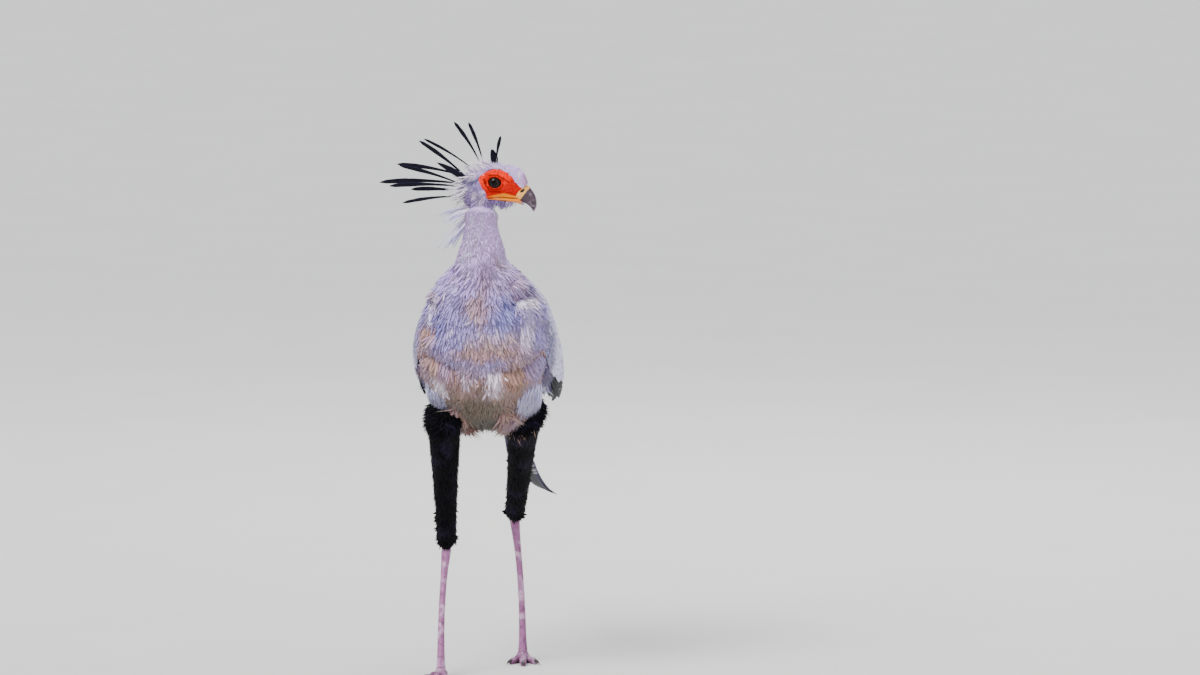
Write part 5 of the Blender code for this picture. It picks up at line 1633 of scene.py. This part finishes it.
def makeLids(material, lashMaterial):
    # pale rim round each eye and the black lashes over it
    rims, lashes = [], []
    turns = ringAngles(lidShape["stops"])
    for side in (1, -1):
        reachF = headShape["lidLong"] * 1.03 * np.cos(turns)
        reachU = headShape["lidHigh"] * 1.05 * np.sin(turns)
        ball = headShape["eyeOut"] + np.sqrt(headShape["eyeRadius"] ** 2 - reachF ** 2 - reachU ** 2)
        middle = onHead(reachF, side * (ball + 0.0005), reachU)
        outward = unit(onHead(reachF, side * (ball - headShape["eyeOut"]), reachU) - headShape["middle"])
        alongRim = unit(np.roll(middle, -1, axis=0) - np.roll(middle, 1, axis=0))
        across = np.cross(alongRim, outward)
        thick = lidShape["thick"] * (1 + 0.45 * np.maximum(0, np.sin(turns)))
        around = ringAngles(lidShape["around"])
        wide = across[:, None] * (np.cos(around)[None] * thick[:, None])[..., None] * 1.3
        deep = outward[:, None] * (np.sin(around)[None] * thick[:, None])[..., None] * 0.8
        ring = middle[:, None] + wide + deep
        rims.append(loft("rim", np.concatenate((ring, ring[:1])), closed=False))
        for number in range(lidShape["lashes"]):
            share = number / (lidShape["lashes"] - 1)
            turn = math.radians(28 + 124 * share)
            f = headShape["lidLong"] * 1.08 * math.cos(turn)
            u = headShape["lidHigh"] * 1.12 * math.sin(turn)
            root = onHead(f, side * lidShape["lashOut"], u)
            reach = lidShape["lashLength"] * (0.7 + 0.5 * math.sin(math.pi * share))
            tipOut = side * (lidShape["lashOut"] + reach * 0.75)
            tip = onHead(f + reach * 0.55 * math.cos(turn) + 0.002, tipOut, u + reach * 0.42)
            bend = onHead(f, side * (lidShape["lashOut"] + reach * 0.40), u + reach * 0.02)
            rings = []
            for t in np.linspace(0, 1, 6):
                here = root * (1 - t) ** 2 + 2 * bend * t * (1 - t) + tip * t * t
                thin = lidShape["lashThick"] * (1 - 0.85 * t)
                rings.append(legRing(here, tip - root, thin, thin, 5))
            lashes.append(loft("lash", rings))
    rim = joined("eyelidRims", rims)
    pick(rim)
    bpy.ops.object.mode_set(mode="EDIT")
    bpy.ops.mesh.select_all(action="SELECT")
    bpy.ops.mesh.remove_doubles(threshold=0.00001)
    bpy.ops.mesh.normals_make_consistent(inside=False)
    bpy.ops.object.mode_set(mode="OBJECT")
    setTint(rim.data, mix(paint["lid"], paint["orange"], blotches(pointsOf(rim), 0.003, 14)))
    finishPiece(rim, material, ["head"])
    lash = joined("eyelashes", lashes)
    setTint(lash.data, np.broadcast_to(paint["claw"], (len(lash.data.vertices), 3)))
    finishPiece(lash, lashMaterial, ["head"])


billShape = {
    # forward, up, half height, half width, slope in degrees
    "upper": [
        (0.0520, -0.0110, 0.0186, 0.0139, -30),
        (0.0632, -0.0164, 0.0176, 0.0118, -31),
        (0.0730, -0.0240, 0.0150, 0.0094, -48),
        (0.0804, -0.0325, 0.0108, 0.0068, -65),
        (0.0854, -0.0412, 0.0060, 0.0042, -78),
        (0.0866, -0.0500, 0.0014, 0.0012, -92),
    ],
    "lower": [
        (-0.0120, -0.0385, 0.0014, 0.0170, 10),
        (0.0015, -0.0358, 0.0026, 0.0180, 8),
        (0.0243, -0.0332, 0.0040, 0.0150, 2),
        (0.0391, -0.0328, 0.0044, 0.0126, 0),
        (0.0510, -0.0326, 0.0046, 0.0102, -4),
        (0.0590, -0.0356, 0.0036, 0.0066, -14),
        (0.0648, -0.0392, 0.0010, 0.0016, -30),
    ],
    "sides": 40,
    "rings": 56,
    "nostril": (0.0590, -0.0095),
}


def billRings(rows, keel):
    rings = []
    for place in np.linspace(0, len(rows) - 1, billShape["rings"]):
        forward, up, halfHeight, halfWidth, slope = along(rows, place)
        slope = math.radians(slope)
        angle = ringAngles(billShape["sides"])
        high = np.sin(angle)
        bulge = 1 + 0.25 * np.maximum(high, 0) if keel > 0 else 0.55
        wide = np.sign(np.cos(angle)) * np.abs(np.cos(angle)) ** bulge
        wide = wide * (1 - 0.12 * keel * high) * halfWidth
        reach = high * halfHeight
        rings.append(onHead(forward - math.sin(slope) * reach, wide, up + math.cos(slope) * reach))
    return rings


def billTint(points):
    forward, left, up = inHead(points)
    ahead = forward * math.cos(math.radians(-30)) + up * math.sin(math.radians(-30))
    ragged = (blotches(points, 0.004, 15) - 0.5) * 0.003
    tint = mix(paint["bill"], paint["billDark"], smooth(ahead, 0.078, 0.100))
    tint = mix(tint, paint["billPale"], 0.45 * smooth(blotches(points, 0.006, 16), 0.5, 0.9))
    tint = mix(tint, paint["billDark"], 0.7 * bell(ahead - 0.0650, 0.0014))
    # painted highlight along the ridge of the bill
    culmenHighlight = smooth(np.abs(left), 0.0035, 0.0015) * smooth(ahead, 0.070, 0.076)
    tint = mix(tint, paint["billPale"], 0.6 * culmenHighlight)
    tint = mix(paint["cere"], tint, smooth(ahead + ragged, 0.0622, 0.0640))
    fromF = forward - billShape["nostril"][0]
    fromU = up - billShape["nostril"][1]
    near = np.hypot(fromF * 0.75 + fromU * 0.66, 2.2 * (fromU * 0.75 - fromF * 0.66))
    # near-black round the nostril: painted shade in its hole
    return mix(paint["claw"] * 0.3, tint, smooth(near, 0.0050, 0.0058))


def makeBill(material):
    upper = loft("upperBill", billRings(billShape["upper"], 1))
    for side in (-1, 1):
        slot = onHead(billShape["nostril"][0], side * 0.0125, billShape["nostril"][1])
        clearSelection()
        bpy.ops.mesh.primitive_uv_sphere_add(segments=24, ring_count=16, radius=1, location=tuple(slot),
                                             rotation=(0, math.radians(-38), 0),
                                             scale=(0.0056, 0.0040, 0.0024))
        cutter = bpy.context.object
        carve = upper.modifiers.new("nostril", "BOOLEAN")
        carve.operation = "DIFFERENCE"
        carve.solver = "EXACT"
        carve.object = cutter
        applyAll(upper)
        bpy.data.objects.remove(cutter)
    setTint(upper.data, billTint(pointsOf(upper)))
    finishPiece(upper, material, ["bill_upper"])
    lower = loft("lowerBill", billRings(billShape["lower"], -1))
    forward, _, up = inHead(pointsOf(lower))
    tint = mix(paint["gape"], paint["orangeRed"], 0.8 * smooth(forward, 0.006, -0.010))
    # painted shade on the underside of the lower bill
    tint = mix(tint, paint["gape"] * 0.5, 0.5 * smooth(up, -0.0345, -0.0372))
    setTint(lower.data, mix(tint, paint["billPale"], smooth(forward, 0.055, 0.064)))
    finishPiece(lower, material, ["bill_lower"])


makeEyes()
makeLids(skinAndFace, materials["claw"])
makeBill(materials["bill"])
print("head details done")

shankShape = {
    # share of the way from ankle to toes, half width, half depth
    "rows": [
        (-0.10, 0.0092, 0.0112),
        (0.00, 0.0098, 0.0125),
        (0.05, 0.0100, 0.0130),
        (0.14, 0.0082, 0.0098),
        (0.30, 0.0068, 0.0080),
        (0.60, 0.0068, 0.0078),
        (0.85, 0.0078, 0.0086),
        (0.985, 0.0100, 0.0108),
    ],
    "scutes": 44,
    "rise": 0.00055,
    "sides": 36,
    "rings": 220,
}
toeShape = {
    # turn from straight ahead in degrees, length, root and end radius, scutes, claw length
    "middle": (0, 0.076, 0.0090, 0.0066, 15, 0.021),
    "inner": (-27, 0.054, 0.0084, 0.0062, 11, 0.020),
    "outer": (27, 0.056, 0.0084, 0.0062, 11, 0.018),
    "hind": (180, 0.036, 0.0078, 0.0060, 7, 0.019),
}


def shankTube(leg):
    down = leg["toes"] - leg["ankle"]
    axis = unit(leg["ankle"] - leg["knee"])
    rings = []
    front = np.maximum(0, np.sin(ringAngles(shankShape["sides"])))
    for place in np.linspace(0, len(shankShape["rows"]) - 1, shankShape["rings"]):
        share, halfWidth, halfDepth = along(shankShape["rows"], place)
        point = leg["ankle"] + down * max(share, 0) + axis * min(share, 0) * 0.30
        point = point + np.array((leg["bow"] * math.sin(math.pi * max(share, 0)), 0, 0))
        bend = min(1.0, 0.35 + max(share, 0) * 4)
        turned = axis * (1 - bend) + unit(down) * bend
        saw = (share * shankShape["scutes"]) % 1.0
        rise = shankShape["rise"] * (saw ** 0.7 - 0.55) * smooth(front, 0.10, 0.55)
        ring = legRing(point, turned, halfWidth, halfDepth, shankShape["sides"])
        rings.append(ring + unit(ring - point) * rise[:, None])
    return loft("shank", rings)


def toeAhead(leg, turn):
    angle = leg["mirror"] * math.radians(turn) + leg["turn"]
    return np.array((math.sin(angle), -math.cos(angle), 0.0))


def toeTube(leg, toe):
    turn, length, rootRadius, endRadius, scutes = toeShape[toe][:5]
    ahead = toeAhead(leg, turn)
    upward = np.array((0, 0, 1))
    across = np.cross(upward, ahead)
    base = np.array((leg["toes"][0], leg["toes"][1], 0.0))
    rings = []
    angle = ringAngles(20)
    for share in np.linspace(0, 1, 70):
        radius = rootRadius + (endRadius - rootRadius) * share
        radius = radius + 0.0007 * math.cos(share * 2 * math.pi * 2.5)
        height = radius * 0.88 + 0.0035 * (1 - share) ** 2
        middle = base + ahead * (0.002 + length * share) + np.array((0, 0, height))
        saw = (share * scutes) % 1.0
        rise = 0.0004 * (saw ** 0.7 - 0.5) * smooth(np.sin(angle), 0.2, 0.7)
        size = (radius + rise)[:, None]
        ring = middle + across * size * np.cos(angle)[:, None]
        rings.append(ring + upward * size * np.sin(angle)[:, None])
    rings.append(rings[-1] + (rings[-1].mean(axis=0) - rings[-1]) * 0.45 + ahead * 0.0022)
    return loft("toe", rings)


def clawTube(leg, toe):
    turn, length, _, endRadius, _, clawLength = toeShape[toe]
    ahead = toeAhead(leg, turn)
    across = np.cross((0, 0, 1), ahead)
    base = np.array((leg["toes"][0], leg["toes"][1], 0.0))
    start = base + ahead * (0.002 + length) + np.array((0, 0, endRadius * 0.88))
    rings = []
    angle = ringAngles(16)
    for share in np.linspace(-0.08, 1, 22):
        t = max(share, 0)
        size = endRadius * 0.70 * (1 - t) ** 0.8 + 0.0004
        drop = 0.0009 - 0.0034 * t ** 1.6 + 0.0024 * math.sin(math.pi * t)
        middle = start + ahead * clawLength * share + np.array((0, 0, drop))
        middle[2] = max(middle[2], size + 0.0002)
        rings.append(middle + across * size * 0.80 * np.cos(angle)[:, None]
                     + np.array((0, 0, 1)) * size * np.sin(angle)[:, None])
    return loft("claw", rings)


def makeFeet(material, hornLook):
    for word, leg in legShape.items():
        clearSelection()
        bpy.ops.mesh.primitive_uv_sphere_add(segments=40, ring_count=24, radius=1,
                                             location=(leg["toes"][0], leg["toes"][1], 0.0118),
                                             scale=(0.0135, 0.0150, 0.0120))
        ball = bpy.context.object
        bpy.ops.object.transform_apply(location=True, rotation=True, scale=True)
        parts = [shankTube(leg)] + [toeTube(leg, toe) for toe in toeShape]
        group = bpy.data.collections.new("footParts")
        bpy.context.scene.collection.children.link(group)
        for part in parts:
            group.objects.link(part)
        weld = ball.modifiers.new("weld", "BOOLEAN")
        weld.operation = "UNION"
        weld.operand_type = "COLLECTION"
        weld.collection = group
        weld.solver = "EXACT"
        applyAll(ball)
        for part in parts:
            bpy.data.objects.remove(part)
        bpy.data.collections.remove(group)
        ball.name = "leg_" + word
        points = pointsOf(ball)
        points[:, 2] = np.maximum(points[:, 2], 0.0)
        setPoints(ball, points)
        ball.data.shade_smooth()
        saw = blotches(points, 0.012, 17)
        tint = mix(paint["shank"], paint["shankPale"], smooth(saw, 0.45, 0.85))
        tint = mix(tint, paint["shankDark"], 0.6 * smooth(blotches(points, 0.004, 18), 0.6, 0.9))
        tint = mix(tint, paint["shankDark"], 0.5 * smooth(points[:, 2], 0.03, 0.004))
        setTint(ball.data, tint)
        finishPiece(ball, material, ["shank_" + word, "foot_" + word])
        for toe in toeShape:
            claw = clawTube(leg, toe)
            claw.name = "clawHorn_" + word + "_" + toe
            worn = smooth(blotches(pointsOf(claw), 0.004, 19), 0.4, 0.9)
            setTint(claw.data, mix(paint["claw"], paint["clawTip"], worn))
            finishPiece(claw, hornLook, ["claw_" + word + "_" + toe])


makeFeet(materials["scute"], materials["claw"])
print("legs done")

studio = {
    "azimuth": 7,
    "elevation": 6,
    "distance": 20.0,
    "scale": 475.0,  # picture points to a metre at the bird
    "pictureWide": 1200,
    "right": 0.2316,
    "rise": 0.6989,
    "floor": 60,
    "sky": (0.88, 0.91, 1.0, 1),
    "skyPower": 0.62,
    "lookAt": (0, 0, 0.7),
    # name, kind, place, width of the light, power
    "lamps": [
        ("key", "SUN", (-2.0, -3.2, 4.6), math.radians(35), 4.1),
        ("fill", "AREA", (3.2, -3.4, 2.2), 3.0, 50),
        ("back", "AREA", (0.6, 3.0, 4.0), 3.0, 140),
    ],
}


def makeStudio():
    # camera at the photo's angle, pale floor and soft light
    azimuth = math.radians(studio["azimuth"])
    elevation = math.radians(studio["elevation"])
    look = Vector((-math.sin(azimuth) * math.cos(elevation), math.cos(azimuth) * math.cos(elevation),
                   -math.sin(elevation)))
    right = Vector((math.cos(azimuth), math.sin(azimuth), 0))
    rise = right.cross(look)
    target = Vector(home) + right * studio["right"] + rise * studio["rise"]
    camera = bpy.data.cameras.new("camera")
    camera.sensor_width = 36
    camera.lens = studio["scale"] * studio["distance"] * camera.sensor_width / studio["pictureWide"]
    camera.clip_end = 200
    shot = bpy.data.objects.new("camera", camera)
    bpy.context.scene.collection.objects.link(shot)
    shot.location = target - look * studio["distance"]
    shot.rotation_euler = look.to_track_quat("-Z", "Y").to_euler()
    bpy.context.scene.camera = shot
    clearSelection()
    bpy.ops.mesh.primitive_plane_add(size=studio["floor"], location=(0, 0, 0))
    floor = bpy.context.object
    floor.name = "studioFloor"
    bpy.ops.object.transform_apply(location=True, rotation=True, scale=True)
    floor.data.materials.append(groundMaterial())
    world = bpy.data.worlds.new("softSky")
    bpy.context.scene.world = world
    world.use_nodes = True
    sky = world.node_tree.nodes["Background"]
    sky.inputs["Color"].default_value = studio["sky"]
    sky.inputs["Strength"].default_value = studio["skyPower"]
    for name, kind, place, size, power in studio["lamps"]:
        lamp = bpy.data.lights.new(name, kind)
        if kind == "SUN":
            lamp.angle = size
        else:
            lamp.size = size
        lamp.energy = power
        item = bpy.data.objects.new(name, lamp)
        bpy.context.scene.collection.objects.link(item)
        item.location = place
        aim = Vector(studio["lookAt"]) - Vector(place)
        item.rotation_euler = aim.to_track_quat("-Z", "Y").to_euler()


makeStudio()
print("studio done")
